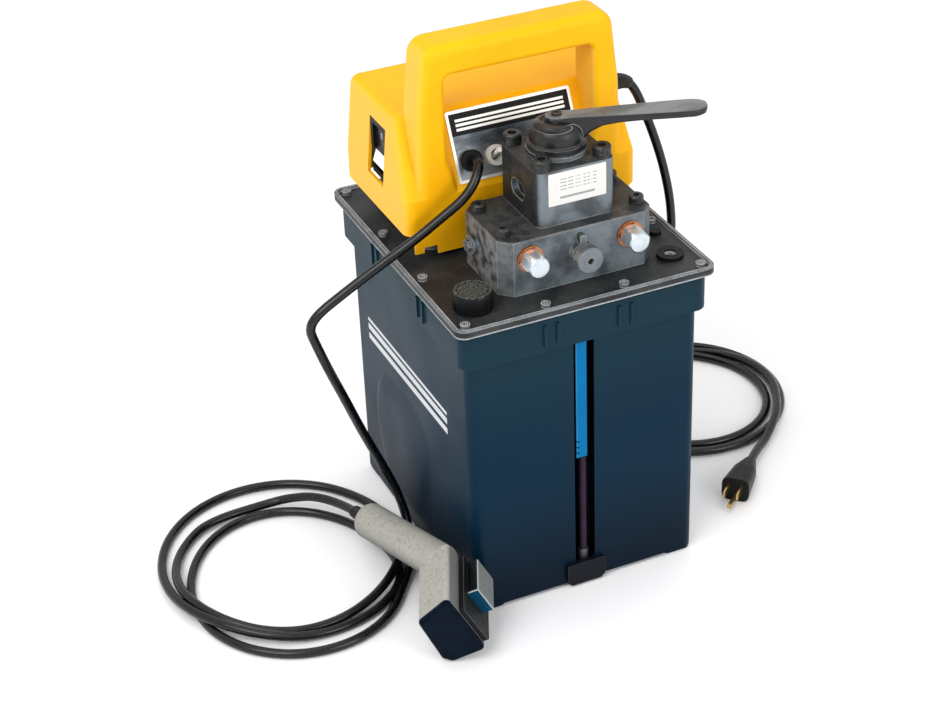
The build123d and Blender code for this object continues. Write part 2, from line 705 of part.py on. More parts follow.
with BuildPart() as motor_fan:
    with BuildSketch(Plane.XY.offset(MOTOR_HIGH + 9)):
        with Locations((MOTOR_X, MOTOR_Y)):
            Circle(36)
            Circle(MOTOR_SHAFT_R, mode=Mode.SUBTRACT)
    extrude(amount=2)
    with BuildSketch(Plane.XY.offset(MOTOR_HIGH + 11)):
        with Locations((MOTOR_X, MOTOR_Y)):
            Circle(9)
            Circle(MOTOR_SHAFT_R, mode=Mode.SUBTRACT)
            with PolarLocations(22, 9):
                Rectangle(27, 2)
    extrude(amount=6)
publish(motor_fan, "motor_fan")

with BuildPart() as control_electrics:
    # transformer, its core wider than its winding
    with BuildSketch(Plane.XY.offset(PLATE_TOP + 6)):
        with Locations((72, 60)):
            RectangleRounded(34, 44, 2)
    extrude(amount=42)
    with BuildSketch(Plane.XY.offset(PLATE_TOP + 14)):
        with Locations((72, 60)):
            RectangleRounded(38, 30, 4)
    extrude(amount=26)
    # relay
    with BuildSketch(Plane.XY.offset(PLATE_TOP + 6)):
        with Locations((-72, 18)):
            RectangleRounded(28, 22, 1.5)
    extrude(amount=34)
publish(control_electrics, "control_electrics")

# ---- pump in the reservoir ----------------------------------------------------------------
PISTON_ANGLES = (90, 210, 330)


def piston_plane(angle, along):
    """A plane across one piston's bore, along millimetres out from the shaft's axis."""
    direction = Vector(1, 0, 0).rotate(Axis.Z, angle)
    return Plane(origin=Vector(MOTOR_X, MOTOR_Y, PISTON_Z) + direction * along, z_dir=direction)


with BuildPart() as pump_body:
    with BuildSketch(Plane.XY.offset(PUMP_LOW)):
        with Locations((MOTOR_X, MOTOR_Y)):
            Circle(PUMP_R)
    extrude(amount=FLANGE_BOTTOM - PUMP_LOW)
    with BuildSketch(Plane.XY.offset(PUMP_LOW + 6)):
        with Locations((MOTOR_X, MOTOR_Y)):
            Circle(15.5)
    extrude(amount=44, mode=Mode.SUBTRACT)
    with BuildSketch(Plane.XY.offset(FLANGE_BOTTOM)):
        with Locations((MOTOR_X, MOTOR_Y)):
            Circle(8)
    extrude(amount=-20, mode=Mode.SUBTRACT)
    for angle in PISTON_ANGLES:
        with BuildSketch(piston_plane(angle, 0)):
            Circle(5)
        extrude(amount=32, mode=Mode.SUBTRACT)
publish(pump_body, "pump_body")

with BuildPart() as pump_pistons:
    for angle in PISTON_ANGLES:
        with BuildSketch(piston_plane(angle, 15)):
            Circle(5 - SLIP)
        extrude(amount=9)
publish(pump_pistons, "pump_pistons")

with BuildPart() as intake_strainer:
    with BuildSketch(Plane.XY.offset(PUMP_LOW - 26)):
        with Locations((MOTOR_X, MOTOR_Y)):
            Circle(24)
    extrude(amount=26)
    with BuildSketch(Plane.XY.offset(PUMP_LOW - 24)):
        with Locations((MOTOR_X, MOTOR_Y)):
            Circle(22.5)
    extrude(amount=24, mode=Mode.SUBTRACT)
publish(intake_strainer, "intake_strainer")

with BuildPart() as oil_pipes:
    # pressure pipe, from the pump's side up to the manifold
    with BuildLine():
        FilletPolyline(
            (PRESSURE_PORT[0], 28.5, 284),
            (PRESSURE_PORT[0], PRESSURE_PORT[1], 284),
            (PRESSURE_PORT[0], PRESSURE_PORT[1], FLANGE_BOTTOM),
            radius=8,
        )
    with BuildSketch(Plane.XZ.offset(-28.5).shift_origin((PRESSURE_PORT[0], 28.5, 284))):
        Circle(PIPE_R - 1)
    sweep()
    # return pipe, open below the oil's surface
    with BuildSketch(Plane.XY.offset(FLANGE_BOTTOM)):
        with Locations(RETURN_PORT):
            Circle(PIPE_R + 1)
            Circle(PIPE_R - 0.5, mode=Mode.SUBTRACT)
    extrude(amount=-150)
publish(oil_pipes, "oil_pipes")

# ---- controls on the shroud ---------------------------------------------------------------
PANEL_MID_Z = SHOULDER + 33.5
with BuildPart() as control_panel:
    with BuildSketch(face_plane(0, PANEL_MID_Z)):
        RectangleRounded(PANEL_W, PANEL_H, 2)
    extrude(amount=PANEL_T)
    with BuildSketch(face_plane(0, CONTROL_Z)):
        with Locations((GLAND_X, 0)):
            Circle(6.2)
        with Locations((TOGGLE_X, 0)):
            Circle(5.2)
    extrude(amount=PANEL_T, mode=Mode.SUBTRACT)
publish(control_panel, "control_panel")

with BuildPart() as pendant_gland:
    with BuildSketch(face_plane(GLAND_X, CONTROL_Z, -10)):
        Circle(6)
    extrude(amount=12)
    with BuildSketch(face_plane(GLAND_X, CONTROL_Z, PANEL_T)):
        Circle(9.5)
    extrude(amount=GLAND_PROUD - PANEL_T)
    outer_rim = pendant_gland.edges().filter_by(GeomType.CIRCLE)
    fillet(outer_rim.sort_by(Axis((0, 0, 0), FACE_N))[-1], radius=1.5)
publish(pendant_gland, "pendant_gland")

with BuildPart() as toggle_body:
    with BuildSketch(face_plane(TOGGLE_X, CONTROL_Z, -22)):
        Rectangle(20, 13)
    extrude(amount=16)
    with BuildSketch(face_plane(TOGGLE_X, CONTROL_Z, -6)):
        Circle(5)
    extrude(amount=6 + PANEL_T)
    with BuildSketch(face_plane(TOGGLE_X, CONTROL_Z, PANEL_T)):
        Circle(9.2)
    extrude(amount=5)
    with BuildSketch(face_plane(TOGGLE_X, CONTROL_Z, -8)):
        Circle(3.6)
    extrude(amount=PANEL_T + 13, taper=-8, mode=Mode.SUBTRACT)
publish(toggle_body, "toggle_body")

TOGGLE_PIVOT = face_plane(TOGGLE_X, CONTROL_Z, -4).origin
with BuildPart() as toggle_lever:
    with BuildSketch(Plane(origin=TOGGLE_PIVOT, x_dir=(1, 0, 0), z_dir=FACE_N.rotate(Axis.X, -13))):
        Circle(1.6)
    extrude(amount=TOGGLE_LENGTH, taper=-2)
    with Locations(TOGGLE_PIVOT):
        Sphere(2.6)
publish(toggle_lever, "toggle_lever")

with BuildPart() as switch_frame:
    with BuildSketch(Plane.YZ.offset(SWITCH_FACE)):
        with Locations((SWITCH_Y, SWITCH_Z)):
            Rectangle(SWITCH_W - 2 * FIT, SWITCH_H - 2 * FIT)
    extrude(amount=26)
    with BuildSketch(Plane.YZ.offset(SWITCH_FACE)):
        with Locations((SWITCH_Y, SWITCH_Z)):
            Rectangle(26, 45)
    extrude(amount=22, mode=Mode.SUBTRACT)
publish(switch_frame, "switch_frame")

with BuildPart() as main_rocker:
    with BuildSketch(Plane.XZ.offset(-SWITCH_Y + 12.5)):
        with BuildLine():
            Polyline(
                (ROCKER_PIVOT_X - 12.0, SWITCH_Z + 20),
                (ROCKER_PIVOT_X - 8.5, SWITCH_Z),
                (ROCKER_PIVOT_X - 12.0, SWITCH_Z - 20),
                (ROCKER_PIVOT_X, SWITCH_Z - 9),
                (ROCKER_PIVOT_X + 5, SWITCH_Z),
                (ROCKER_PIVOT_X, SWITCH_Z + 9),
                close=True,
            )
        make_face()
    extrude(amount=-25)
    fillet(main_rocker.edges().filter_by(Axis.Y).group_by(Axis.X)[0], radius=1.5)
ROCKER_AXIS = Axis((ROCKER_PIVOT_X, SWITCH_Y, SWITCH_Z), (0, 1, 0))
main_rocker.part = main_rocker.part.rotate(ROCKER_AXIS, ROCKER_TILT)
publish(main_rocker, "main_rocker")

# ---- manifold -----------------------------------------------------------------------------
MANIFOLD_MID_Y = (MANIFOLD_FRONT + MANIFOLD_BACK) / 2
with BuildPart() as manifold:
    with BuildSketch(Plane.XY.offset(PLATE_TOP)) as manifold_outline:
        with Locations((MANIFOLD_X, MANIFOLD_MID_Y)):
            Rectangle(2 * MANIFOLD_HALF_X, MANIFOLD_BACK - MANIFOLD_FRONT)
        chamfer(manifold_outline.vertices(), length=MANIFOLD_CHAMFER)
    extrude(amount=MANIFOLD_TOP - PLATE_TOP)
    chamfer(manifold.faces().sort_by(Axis.Z)[-1].edges(), length=0.8)
    with BuildSketch(Plane.XY.offset(MANIFOLD_TOP)):
        with Locations(*MANIFOLD_SCREWS):
            Circle(4.0)
    extrude(amount=PLATE_TOP - MANIFOLD_TOP, mode=Mode.SUBTRACT)
    # oil ports, relief bore and the passages that join them
    with BuildSketch(Plane.XZ.offset(-MANIFOLD_FRONT)):
        with Locations(
            (MANIFOLD_X - PORT_SPACING / 2, PORT_Z), (MANIFOLD_X + PORT_SPACING / 2, PORT_Z)
        ):
            Circle(PORT_R)
    extrude(amount=-18, mode=Mode.SUBTRACT)
    with BuildSketch(Plane.XZ.offset(-MANIFOLD_FRONT)):
        with Locations((MANIFOLD_X, RELIEF_Z)):
            Circle(6)
    extrude(amount=-30, mode=Mode.SUBTRACT)
    with BuildSketch(Plane.XY.offset(PLATE_TOP)):
        with Locations(PRESSURE_PORT, RETURN_PORT):
            Circle(PIPE_R)
    extrude(amount=22, mode=Mode.SUBTRACT)
    with BuildSketch(Plane.XY.offset(MANIFOLD_TOP)):
        with Locations((VALVE_X, VALVE_Y)):
            with PolarLocations(12, 4):
                Circle(3)
            with GridLocations(2 * VALVE_SCREW, 2 * VALVE_SCREW, 2, 2):
                Circle(5)
    extrude(amount=-16, mode=Mode.SUBTRACT)
    # gauge port in the left end
    with BuildSketch(Plane.YZ.offset(MANIFOLD_X - MANIFOLD_HALF_X)):
        with Locations((-54, 331)):
            Circle(6)
    extrude(amount=14, mode=Mode.SUBTRACT)
publish(manifold, "manifold")


def socket_screws(spots, seat, length, shank_r, head_r, head_h, socket_r):
    """A group of socket-head cap screws, heads standing on the plane at height seat."""
    with BuildPart() as screws:
        with BuildSketch(Plane.XY.offset(seat)):
            with Locations(*spots):
                Circle(head_r)
        extrude(amount=head_h)
        rims = screws.edges().filter_by(GeomType.CIRCLE).group_by(Axis.Z)[-1]
        chamfer(rims, length=0.6)
        with BuildSketch(Plane.XY.offset(seat)):
            with Locations(*spots):
                Circle(shank_r)
        extrude(amount=-length)
        with BuildSketch(Plane.XY.offset(seat + head_h)):
            with Locations(*spots):
                RegularPolygon(socket_r, 6)
        extrude(amount=-head_h * 0.6, mode=Mode.SUBTRACT)
    return screws


manifold_screws = socket_screws(
    MANIFOLD_SCREWS, MANIFOLD_TOP, MANIFOLD_TOP - PLATE_TOP + 4, 4.0 - SLIP, 6.5, 8.0, 3.5
)
publish(manifold_screws, "manifold_screws")

with BuildPart() as copper_washers:
    with BuildSketch(Plane.XZ.offset(-MANIFOLD_FRONT)):
        for side in (-1, 1):
            with Locations((MANIFOLD_X + side * PORT_SPACING / 2, PORT_Z)):
                Circle(11.8)
                Circle(PORT_R + SLIP, mode=Mode.SUBTRACT)
    extrude(amount=2)
publish(copper_washers, "copper_washers")

with BuildPart() as port_plugs:
    with BuildSketch(Plane.XZ.offset(-MANIFOLD_FRONT + 2)):
        for side in (-1, 1):
            with Locations((MANIFOLD_X + side * PORT_SPACING / 2, PORT_Z)):
                RegularPolygon(PLUG_AF / 2, 6, major_radius=False)
    extrude(amount=PLUG_HEAD)
    chamfer(port_plugs.faces().sort_by(Axis.Y)[:2].edges(), length=1.0)
    with BuildSketch(Plane.XZ.offset(-MANIFOLD_FRONT + 2)):
        for side in (-1, 1):
            with Locations((MANIFOLD_X + side * PORT_SPACING / 2, PORT_Z)):
                Circle(PORT_R - SLIP)
    extrude(amount=-14)
publish(port_plugs, "port_plugs")

with BuildPart() as side_plug:
    with BuildSketch(Plane.YZ.offset(MANIFOLD_X - MANIFOLD_HALF_X)):
        with Locations((-54, 331)):
            Circle(8.5)
    extrude(amount=-5)
    with BuildSketch(Plane.YZ.offset(MANIFOLD_X - MANIFOLD_HALF_X - 5)):
        with Locations((-54, 331)):
            RegularPolygon(5.5, 6)
    extrude(amount=-4)
    with BuildSketch(Plane.YZ.offset(MANIFOLD_X - MANIFOLD_HALF_X)):
        with Locations((-54, 331)):
            Circle(6 - SLIP)
    extrude(amount=10)
publish(side_plug, "side_plug")

with BuildPart() as relief_body:
    with BuildSketch(Plane.XZ.offset(-MANIFOLD_FRONT)):
        with Locations((MANIFOLD_X, RELIEF_Z)):
            Circle(10)
        # locking tab
        with Locations((MANIFOLD_X, RELIEF_Z + 13)):
            RectangleRounded(6, 10, 2)
    extrude(amount=7)
    with BuildSketch(Plane.XZ.offset(-MANIFOLD_FRONT)):
        with Locations((MANIFOLD_X, RELIEF_Z)):
            Circle(6 - SLIP)
    extrude(amount=-24)
    with BuildSketch(Plane.XZ.offset(-MANIFOLD_FRONT + 7)):
        with Locations((MANIFOLD_X, RELIEF_Z)):
            Circle(4)
    extrude(amount=-28, mode=Mode.SUBTRACT)
publish(relief_body, "relief_body")

with BuildPart() as relief_adjuster:
    with BuildSketch(Plane.XZ.offset(-MANIFOLD_FRONT + 7 + FIT)):
        with Locations((MANIFOLD_X, RELIEF_Z)):
            Circle(8.5)
    extrude(amount=5)
    with BuildSketch(Plane.XZ.offset(-MANIFOLD_FRONT + 12 + FIT)):
        with Locations((MANIFOLD_X, RELIEF_Z)):
            Circle(12)
    extrude(amount=9)
    chamfer(relief_adjuster.faces().sort_by(Axis.Y)[0].edges(), length=1.2)
    with BuildSketch(Plane.XZ.offset(-MANIFOLD_FRONT + 7 + FIT)):
        with Locations((MANIFOLD_X, RELIEF_Z)):
            Circle(4 - SLIP)
    extrude(amount=-12)
    with BuildSketch(Plane.XZ.offset(-MANIFOLD_FRONT + 21 + FIT)):
        with Locations((MANIFOLD_X, RELIEF_Z)):
            RegularPolygon(3.2, 6)
    extrude(amount=-6, mode=Mode.SUBTRACT)
publish(relief_adjuster, "relief_adjuster")

# ---- four-way valve and its lever ---------------------------------------------------------
with BuildPart() as valve_body:
    with BuildSketch(Plane.XY.offset(MANIFOLD_TOP)):
        with Locations((VALVE_X, VALVE_Y)):
            RectangleRounded(2 * VALVE_HALF, 2 * VALVE_HALF, 8)
    extrude(amount=VALVE_TOP - MANIFOLD_TOP)
    fillet(valve_body.faces().sort_by(Axis.Z)[-1].edges(), radius=1.0)
    with BuildSketch(Plane.XY.offset(VALVE_TOP)):
        with Locations((VALVE_X, VALVE_Y)):
            Circle(SHAFT_R + SLIP)
            with GridLocations(2 * VALVE_SCREW, 2 * VALVE_SCREW, 2, 2):
                Circle(5)
    extrude(amount=MANIFOLD_TOP - VALVE_TOP, mode=Mode.SUBTRACT)
    # rotor chamber
    with BuildSketch(Plane.XY.offset(MANIFOLD_TOP + 8)):
        with Locations((VALVE_X, VALVE_Y)):
            Circle(ROTOR_R + FIT)
    extrude(amount=24, mode=Mode.SUBTRACT)
    with BuildSketch(Plane.XY.offset(MANIFOLD_TOP)):
        with Locations((VALVE_X, VALVE_Y)):
            with PolarLocations(12, 4):
                Circle(3)
    extrude(amount=8, mode=Mode.SUBTRACT)
    # cast recess in each side
    for side in (-1, 1):
        with BuildSketch(Plane.YZ.offset(VALVE_X + side * VALVE_HALF)):
            with Locations((VALVE_Y, MANIFOLD_TOP + 22)):
                SlotOverall(26, 16)
        extrude(amount=-side * 6, mode=Mode.SUBTRACT)
publish(valve_body, "valve_body")

VALVE_SCREWS = [
    (VALVE_X + sx * VALVE_SCREW, VALVE_Y + sy * VALVE_SCREW) for sx in (-1, 1) for sy in (-1, 1)
]
valve_screws = socket_screws(
    VALVE_SCREWS, VALVE_TOP, VALVE_TOP - MANIFOLD_TOP + 14, 5.0 - SLIP, 8.0, 10.0, 4.6
)
publish(valve_screws, "valve_screws")

with BuildPart() as data_plate:
    with BuildSketch(Plane.XZ.offset(-VALVE_Y + VALVE_HALF)):
        with Locations((VALVE_X + 0.5, MANIFOLD_TOP + 34)):
            RectangleRounded(54, 30, 0.8)
    extrude(amount=0.6)
publish(data_plate, "data_plate")

with BuildPart() as valve_collar:
    with BuildSketch(Plane.XY.offset(VALVE_TOP)):
        with Locations((VALVE_X, VALVE_Y)):
            Circle(HUB_R + 1.5)
            Circle(SHAFT_R + SLIP, mode=Mode.SUBTRACT)
    extrude(amount=4)
    chamfer(valve_collar.edges().filter_by(GeomType.CIRCLE).group_by(Axis.Z)[-1][-1], length=0.8)
publish(valve_collar, "valve_collar")

with BuildPart() as valve_rotor:
    with BuildSketch(Plane.XY.offset(MANIFOLD_TOP + 8.2)):
        with Locations((VALVE_X, VALVE_Y)):
            Circle(ROTOR_R)
    extrude(amount=14)
    with BuildSketch(Plane.XY.offset(MANIFOLD_TOP + 22)):
        with Locations((VALVE_X, VALVE_Y)):
            Circle(SHAFT_R)
    extrude(amount=LEVER_TOP - 12 - MANIFOLD_TOP - 22)
    with BuildSketch(Plane.XY.offset(MANIFOLD_TOP + 8.2)):
        with Locations((VALVE_X, VALVE_Y)):
            with PolarLocations(12, 4):
                Circle(2.6)
    extrude(amount=8, mode=Mode.SUBTRACT)
publish(valve_rotor, "valve_rotor")

with BuildPart() as valve_lever:
    with BuildSketch(Plane.XZ) as hub_outline:
        with BuildLine():
            hub_foot = Polyline(
                (0, HUB_LOW), (HUB_R, HUB_LOW), (HUB_R, HUB_LOW + 5), (HUB_R - 2, HUB_LOW + 6),
                (HUB_R - 2, HUB_LOW + 13),
            )
            dome = TangentArc(hub_foot @ 1, (HUB_R - 12, LEVER_TOP - 2), tangent=(0, 1))
            Polyline(dome @ 1, (0, LEVER_TOP - 2), (0, HUB_LOW))
        make_face()
    revolve(axis=Axis.Z)
    # arm along +X, its top face framed by a rim
    with BuildSketch(Plane.XY.offset(LEVER_TOP - LEVER_T)):
        with BuildLine():
            Polyline(
                (0, 10.5), (LEVER_REACH - 22, LEVER_W / 2), (LEVER_REACH - 10, LEVER_W / 2 - 1.5),
                (LEVER_REACH, LEVER_W / 2 - 9), (LEVER_REACH, -LEVER_W / 2 + 9),
                (LEVER_REACH - 10, -LEVER_W / 2 + 1.5), (LEVER_REACH - 22, -LEVER_W / 2),
                (0, -10.5), close=True,
            )
        make_face()
    extrude(amount=LEVER_T)
    with BuildSketch(Plane.XY.offset(LEVER_TOP)):
        with BuildLine():
            Polyline(
                (30, 8.6), (LEVER_REACH - 22, LEVER_W / 2 - 2.5), (LEVER_REACH - 6, LEVER_W / 2 - 6),
                (LEVER_REACH - 6, -LEVER_W / 2 + 6), (LEVER_REACH - 22, -LEVER_W / 2 + 2.5),
                (30, -8.6), close=True,
            )
        make_face()
    extrude(amount=-1.2, mode=Mode.SUBTRACT)
    with BuildSketch(Plane.XY.offset(HUB_LOW)):
        Circle(SHAFT_R)
    extrude(amount=LEVER_TOP - 12 - HUB_LOW, mode=Mode.SUBTRACT)
    with BuildSketch(Plane.XY.offset(HUB_LOW)):
        Circle(2.6)
    extrude(amount=LEVER_TOP, mode=Mode.SUBTRACT)
LEVER_PLACE = Location((VALVE_X, VALVE_Y, 0), (0, 0, LEVER_TILT))
valve_lever.part = valve_lever.part.moved(LEVER_PLACE)
publish(valve_lever, "valve_lever")

with BuildPart() as lever_screw:
    with BuildSketch(Plane.XY.offset(LEVER_TOP)):
        with Locations((VALVE_X, VALVE_Y)):
            Circle(4.5)
    extrude(amount=2)
    with BuildSketch(Plane.XY.offset(LEVER_TOP)):
        with Locations((VALVE_X, VALVE_Y)):
            Circle(2.5)
    extrude(amount=-11.5)
    with BuildSketch(Plane.XY.offset(LEVER_TOP + 2)):
        with Locations((VALVE_X, VALVE_Y)):
            RegularPolygon(2, 6)
    extrude(amount=-1.6, mode=Mode.SUBTRACT)
publish(lever_screw, "lever_screw")

# ---- pendant ------------------------------------------------------------------------------
GRIP_DIR = (ELBOW - GRIP_END).normalized()
HEAD_DIR = (HEAD_TIP - ELBOW).normalized()
HEAD_LENGTH = (HEAD_TIP - ELBOW).length
UP = Vector(0, 0, 1)
HEAD_SIDE = UP.cross(HEAD_DIR).normalized()
HEAD_UP = HEAD_DIR.cross(HEAD_SIDE).normalized()
RELIEF_BACK = GRIP_END - GRIP_DIR * RELIEF_LENGTH


def head_plane(along):
    """A cross-section plane of the pendant's head, its x to the right and its y up."""
    return Plane(origin=ELBOW + HEAD_DIR * along, x_dir=HEAD_SIDE, z_dir=HEAD_DIR)


# the head's outline: five-sided, its longest side carrying the rocker
with BuildSketch() as head_section:
    with BuildLine():
        Polyline(*HEAD_CORNERS, close=True)
    make_face()
    fillet(head_section.vertices(), radius=4)

with BuildPart() as pendant_grip:
    with BuildSketch(Plane(origin=GRIP_END, z_dir=GRIP_DIR)):
        Circle(GRIP_R)
    extrude(amount=(ELBOW - GRIP_END).length)
    with Locations(ELBOW):
        Sphere(GRIP_R)
    with BuildSketch(head_plane(HEAD_BACK)):
        add(head_section.sketch)
    extrude(amount=HEAD_LENGTH - HEAD_CAP - HEAD_BACK)
    with BuildSketch(head_plane(HEAD_BACK + HEAD_WALL)):
        offset(head_section.sketch, amount=-HEAD_WALL)
    extrude(amount=HEAD_LENGTH, mode=Mode.SUBTRACT)
    with BuildSketch(Plane(origin=GRIP_END + GRIP_DIR * 4, z_dir=GRIP_DIR)):
        Circle(12)
    extrude(amount=(ELBOW - GRIP_END).length, mode=Mode.SUBTRACT)
publish(pendant_grip, "pendant_grip")

with BuildPart() as pendant_cap:
    with BuildSketch(head_plane(HEAD_LENGTH - HEAD_CAP)):
        add(head_section.sketch)
    extrude(amount=HEAD_CAP)
    fillet(pendant_cap.faces().sort_by(Axis((0, 0, 0), HEAD_DIR))[-1].edges(), radius=3)
publish(pendant_cap, "pendant_cap")

# the head's long side: its run down the section, its normal, and where the rocker pivots on it
FACE_TOP = Vector(*HEAD_CORNERS[0])
FACE_RUN = (Vector(*HEAD_CORNERS[1]) - FACE_TOP).normalized()
ROCKER_SIDE = HEAD_SIDE * FACE_RUN.X + HEAD_UP * FACE_RUN.Y
BEVEL_N = HEAD_DIR.cross(ROCKER_SIDE).normalized()
ROCKER_DOWN = FACE_TOP + FACE_RUN * 45.5
ROCKER_AT = 21.5
FRAME_T = 5.0
FRAME_SHIFT = 11.0
POCKET_FLOOR = 1.5
ROCKER_HALF = 17.75
ROCKER_WIDE = 31.0


def bevel_plane(proud):
    """A plane on the head's long side, its x along the head and its normal pointing out."""
    on_side = HEAD_SIDE * ROCKER_DOWN.X + HEAD_UP * ROCKER_DOWN.Y
    origin = ELBOW + HEAD_DIR * ROCKER_AT + on_side + BEVEL_N * (FIT + proud)
    return Plane(origin=origin, x_dir=HEAD_DIR, z_dir=BEVEL_N)


with BuildPart() as pendant_frame:
    with BuildSketch(bevel_plane(0)):
        with Locations((FRAME_SHIFT, 0)):
            RectangleRounded(63, 48, 3)
    extrude(amount=FRAME_T)
    with BuildSketch(bevel_plane(POCKET_FLOOR)):
        RectangleRounded(2 * ROCKER_HALF + 3, ROCKER_WIDE + 1.5, 1)
    extrude(amount=FRAME_T, mode=Mode.SUBTRACT)
publish(pendant_frame, "pendant_frame")

ROCKER_EDGE = bevel_plane(POCKET_FLOOR + 0.5).origin + ROCKER_SIDE * ROCKER_WIDE / 2
with BuildPart() as pendant_rocker:
    with BuildSketch(Plane(origin=ROCKER_EDGE, x_dir=HEAD_DIR, z_dir=-ROCKER_SIDE)):
        with Locations((0, 7.0)):
            Rectangle(2 * ROCKER_HALF, 11.5)
        with Locations((0, 1)):
            Rectangle(5, 2)
    extrude(amount=ROCKER_WIDE)
publish(pendant_rocker, "pendant_rocker")

with BuildPart() as pendant_relief:
    with BuildSketch(Plane(origin=RELIEF_BACK, z_dir=GRIP_DIR)):
        Circle(5.6)
    with BuildSketch(Plane(origin=GRIP_END, z_dir=GRIP_DIR)):
        Circle(8.5)
    loft()
publish(pendant_relief, "pendant_relief")

# ---- cords --------------------------------------------------------------------------------
PENDANT_EXIT = face_plane(GLAND_X, CONTROL_Z, GLAND_PROUD).origin
PENDANT_ROUTE = [
    tuple(PENDANT_EXIT),
    (-45.0, -22.25, 392.0),
    (-49.0, -32.5, 389.5),
    (-56.0, -38.5, 380.0),
    (-67.0, -39.0, 367.0),
    (-85.0, -35.0, 353.0),
    (-112.0, -30.0, 333.0),
    (-146.0, -27.0, 314.5),
    (-178.0, -26.0, 296.5),
    (-201.0, -25.0, 283.0),
    (-209.5, -22.0, 269.0),
    (-204.0, -19.5, 251.0),
    (-193.0, -17.0, 219.0),
    (-176.5, -8.0, 177.0),
    (-161.0, 1.5, 136.0),
    (-146.5, 7.5, 101.0),
    (-134.0, 9.5, 70.0),
    (-124.5, 9.0, 42.0),
    (-123.0, -3.0, 21.0),
    (-126.5, -21.0, 10.5),
    (-133.5, -38.0, 7.0),
]
LEAD_ROUTE = [
    (-222.0, 103.0, 8.5),
    (-206.0, 92.0, 15.5),
    (-188.0, 76.0, 22.0),
    (-169.5, 52.0, 22.5),
    tuple(RELIEF_BACK),
]
POWER_ROUTE = [
    (POWER_START_X, POWER_GLAND_Y, POWER_GLAND_Z),
    (128.5, 40.0, 404.0),
    (138.5, 39.5, 394.5),
    (148.0, 38.0, 370.5),
    (159.0, 36.0, 339.0),
    (167.5, 34.0, 308.0),
    (174.0, 32.0, 272.0),
    (177.0, 34.0, 234.0),
    (176.0, 44.0, 196.0),
    (172.0, 62.0, 158.0),
    (168.0, 86.0, 121.0),
    (165.0, 112.0, 86.0),
    (166.0, 139.0, 54.0),
    (172.0, 162.0, 28.0),
    (185.0, 178.0, 11.5),
    (203.0, 185.0, 6.5),
]
PLUG_LEAD_ROUTE = [
    (291.0, 13.0, 12.5),
    (273.0, -6.5, 10.5),
    (254.0, -23.5, 8.0),
    (236.2, -37.6, 10.8),
    tuple(PLUG_BACK),
]


def cord_tube(points):
    """A round cord swept along runs joined by arcs; also returns its centreline."""
    with BuildPart() as tube:
        with BuildLine() as line:
            FilletPolyline(*points, radius=bend_radii(points))
        start = Vector(*points[0])
        with BuildSketch(Plane(origin=start, z_dir=Vector(*points[1]) - start)):
            Circle(CORD_R)
        sweep()
    return tube, line.wires()[0]


for cord_name, route in (
    ("pendant_cord", PENDANT_ROUTE),
    ("pendant_lead", LEAD_ROUTE),
    ("power_cord", POWER_ROUTE),
    ("plug_lead", PLUG_LEAD_ROUTE),
):
    cord, centreline = cord_tube(route)
    report_cord(cord_name, cord.part, centreline, route)
    publish(cord, cord_name)

with BuildPart() as pendant_coil:
    with BuildSketch():
        with Locations(PENDANT_COIL):
            Ellipse(*PENDANT_COIL_OUTER)
            Ellipse(*PENDANT_COIL_INNER, mode=Mode.SUBTRACT)
    extrude(amount=COIL_H)
publish(pendant_coil, "pendant_coil")

with BuildPart() as power_coil:
    with BuildSketch():
        with Locations(POWER_COIL):
            Circle(POWER_COIL_OUTER)
            Circle(POWER_COIL_INNER, mode=Mode.SUBTRACT)
    extrude(amount=COIL_H)
publish(power_coil, "power_coil")

with BuildPart() as power_gland:
    with BuildSketch(Plane.YZ.offset(99)):
        with Locations((POWER_GLAND_Y, POWER_GLAND_Z)):
            Circle(7)
    extrude(amount=12)
    with BuildSketch(Plane.YZ.offset(99)):
        with Locations((POWER_GLAND_Y, POWER_GLAND_Z)):
            Circle(9)
    extrude(amount=4)
    with BuildSketch(Plane.YZ.offset(109.5)):
        with Locations((POWER_GLAND_Y, POWER_GLAND_Z)):
            Circle(8.5)
    with BuildSketch(Plane.YZ.offset(POWER_START_X)):
        with Locations((POWER_GLAND_Y, POWER_GLAND_Z)):
            Circle(5.2)
    loft()
publish(power_gland, "power_gland")

# ---- mains plug ---------------------------------------------------------------------------
PLUG_DIR = (PLUG_FRONT - PLUG_BACK).normalized()
PLUG_SIDE = UP.cross(PLUG_DIR).normalized()


def plug_plane(along):
    """A cross-section plane of the plug, its x to the right and its y up."""
    return Plane(origin=PLUG_BACK + PLUG_DIR * along, x_dir=PLUG_SIDE, z_dir=PLUG_DIR)


PLUG_LENGTH = (PLUG_FRONT - PLUG_BACK).length
with BuildPart() as plug_body:
    with BuildSketch(plug_plane(0)):
        Circle(6)
    with BuildSketch(plug_plane(20)):
        RectangleRounded(23, 19, 8)
    loft()
    with BuildSketch(plug_plane(20)):
        RectangleRounded(23, 19, 8)
    with BuildSketch(plug_plane(PLUG_LENGTH)):
        RectangleRounded(27, 25, 7)
    loft()
publish(plug_body, "plug_body")

with BuildPart() as plug_blades:
    with BuildSketch(plug_plane(PLUG_LENGTH)):
        with Locations((-6.35, 3), (6.35, 3)):
            Rectangle(1.5, 6.35)
    extrude(amount=17)
    with BuildSketch(plug_plane(PLUG_LENGTH)):
        with Locations((0, -7)):
            Circle(2.4)
    extrude(amount=20)
publish(plug_blades, "plug_blades")
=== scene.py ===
"""Looks of the portable hydraulic power unit: materials, cords and detailed pieces around the
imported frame. Metres, +Z up, -Y is the front with the sight gauge."""
from math import atan2, cos, pi, radians, sin

import bmesh
import bpy
from mathutils import Matrix, Vector


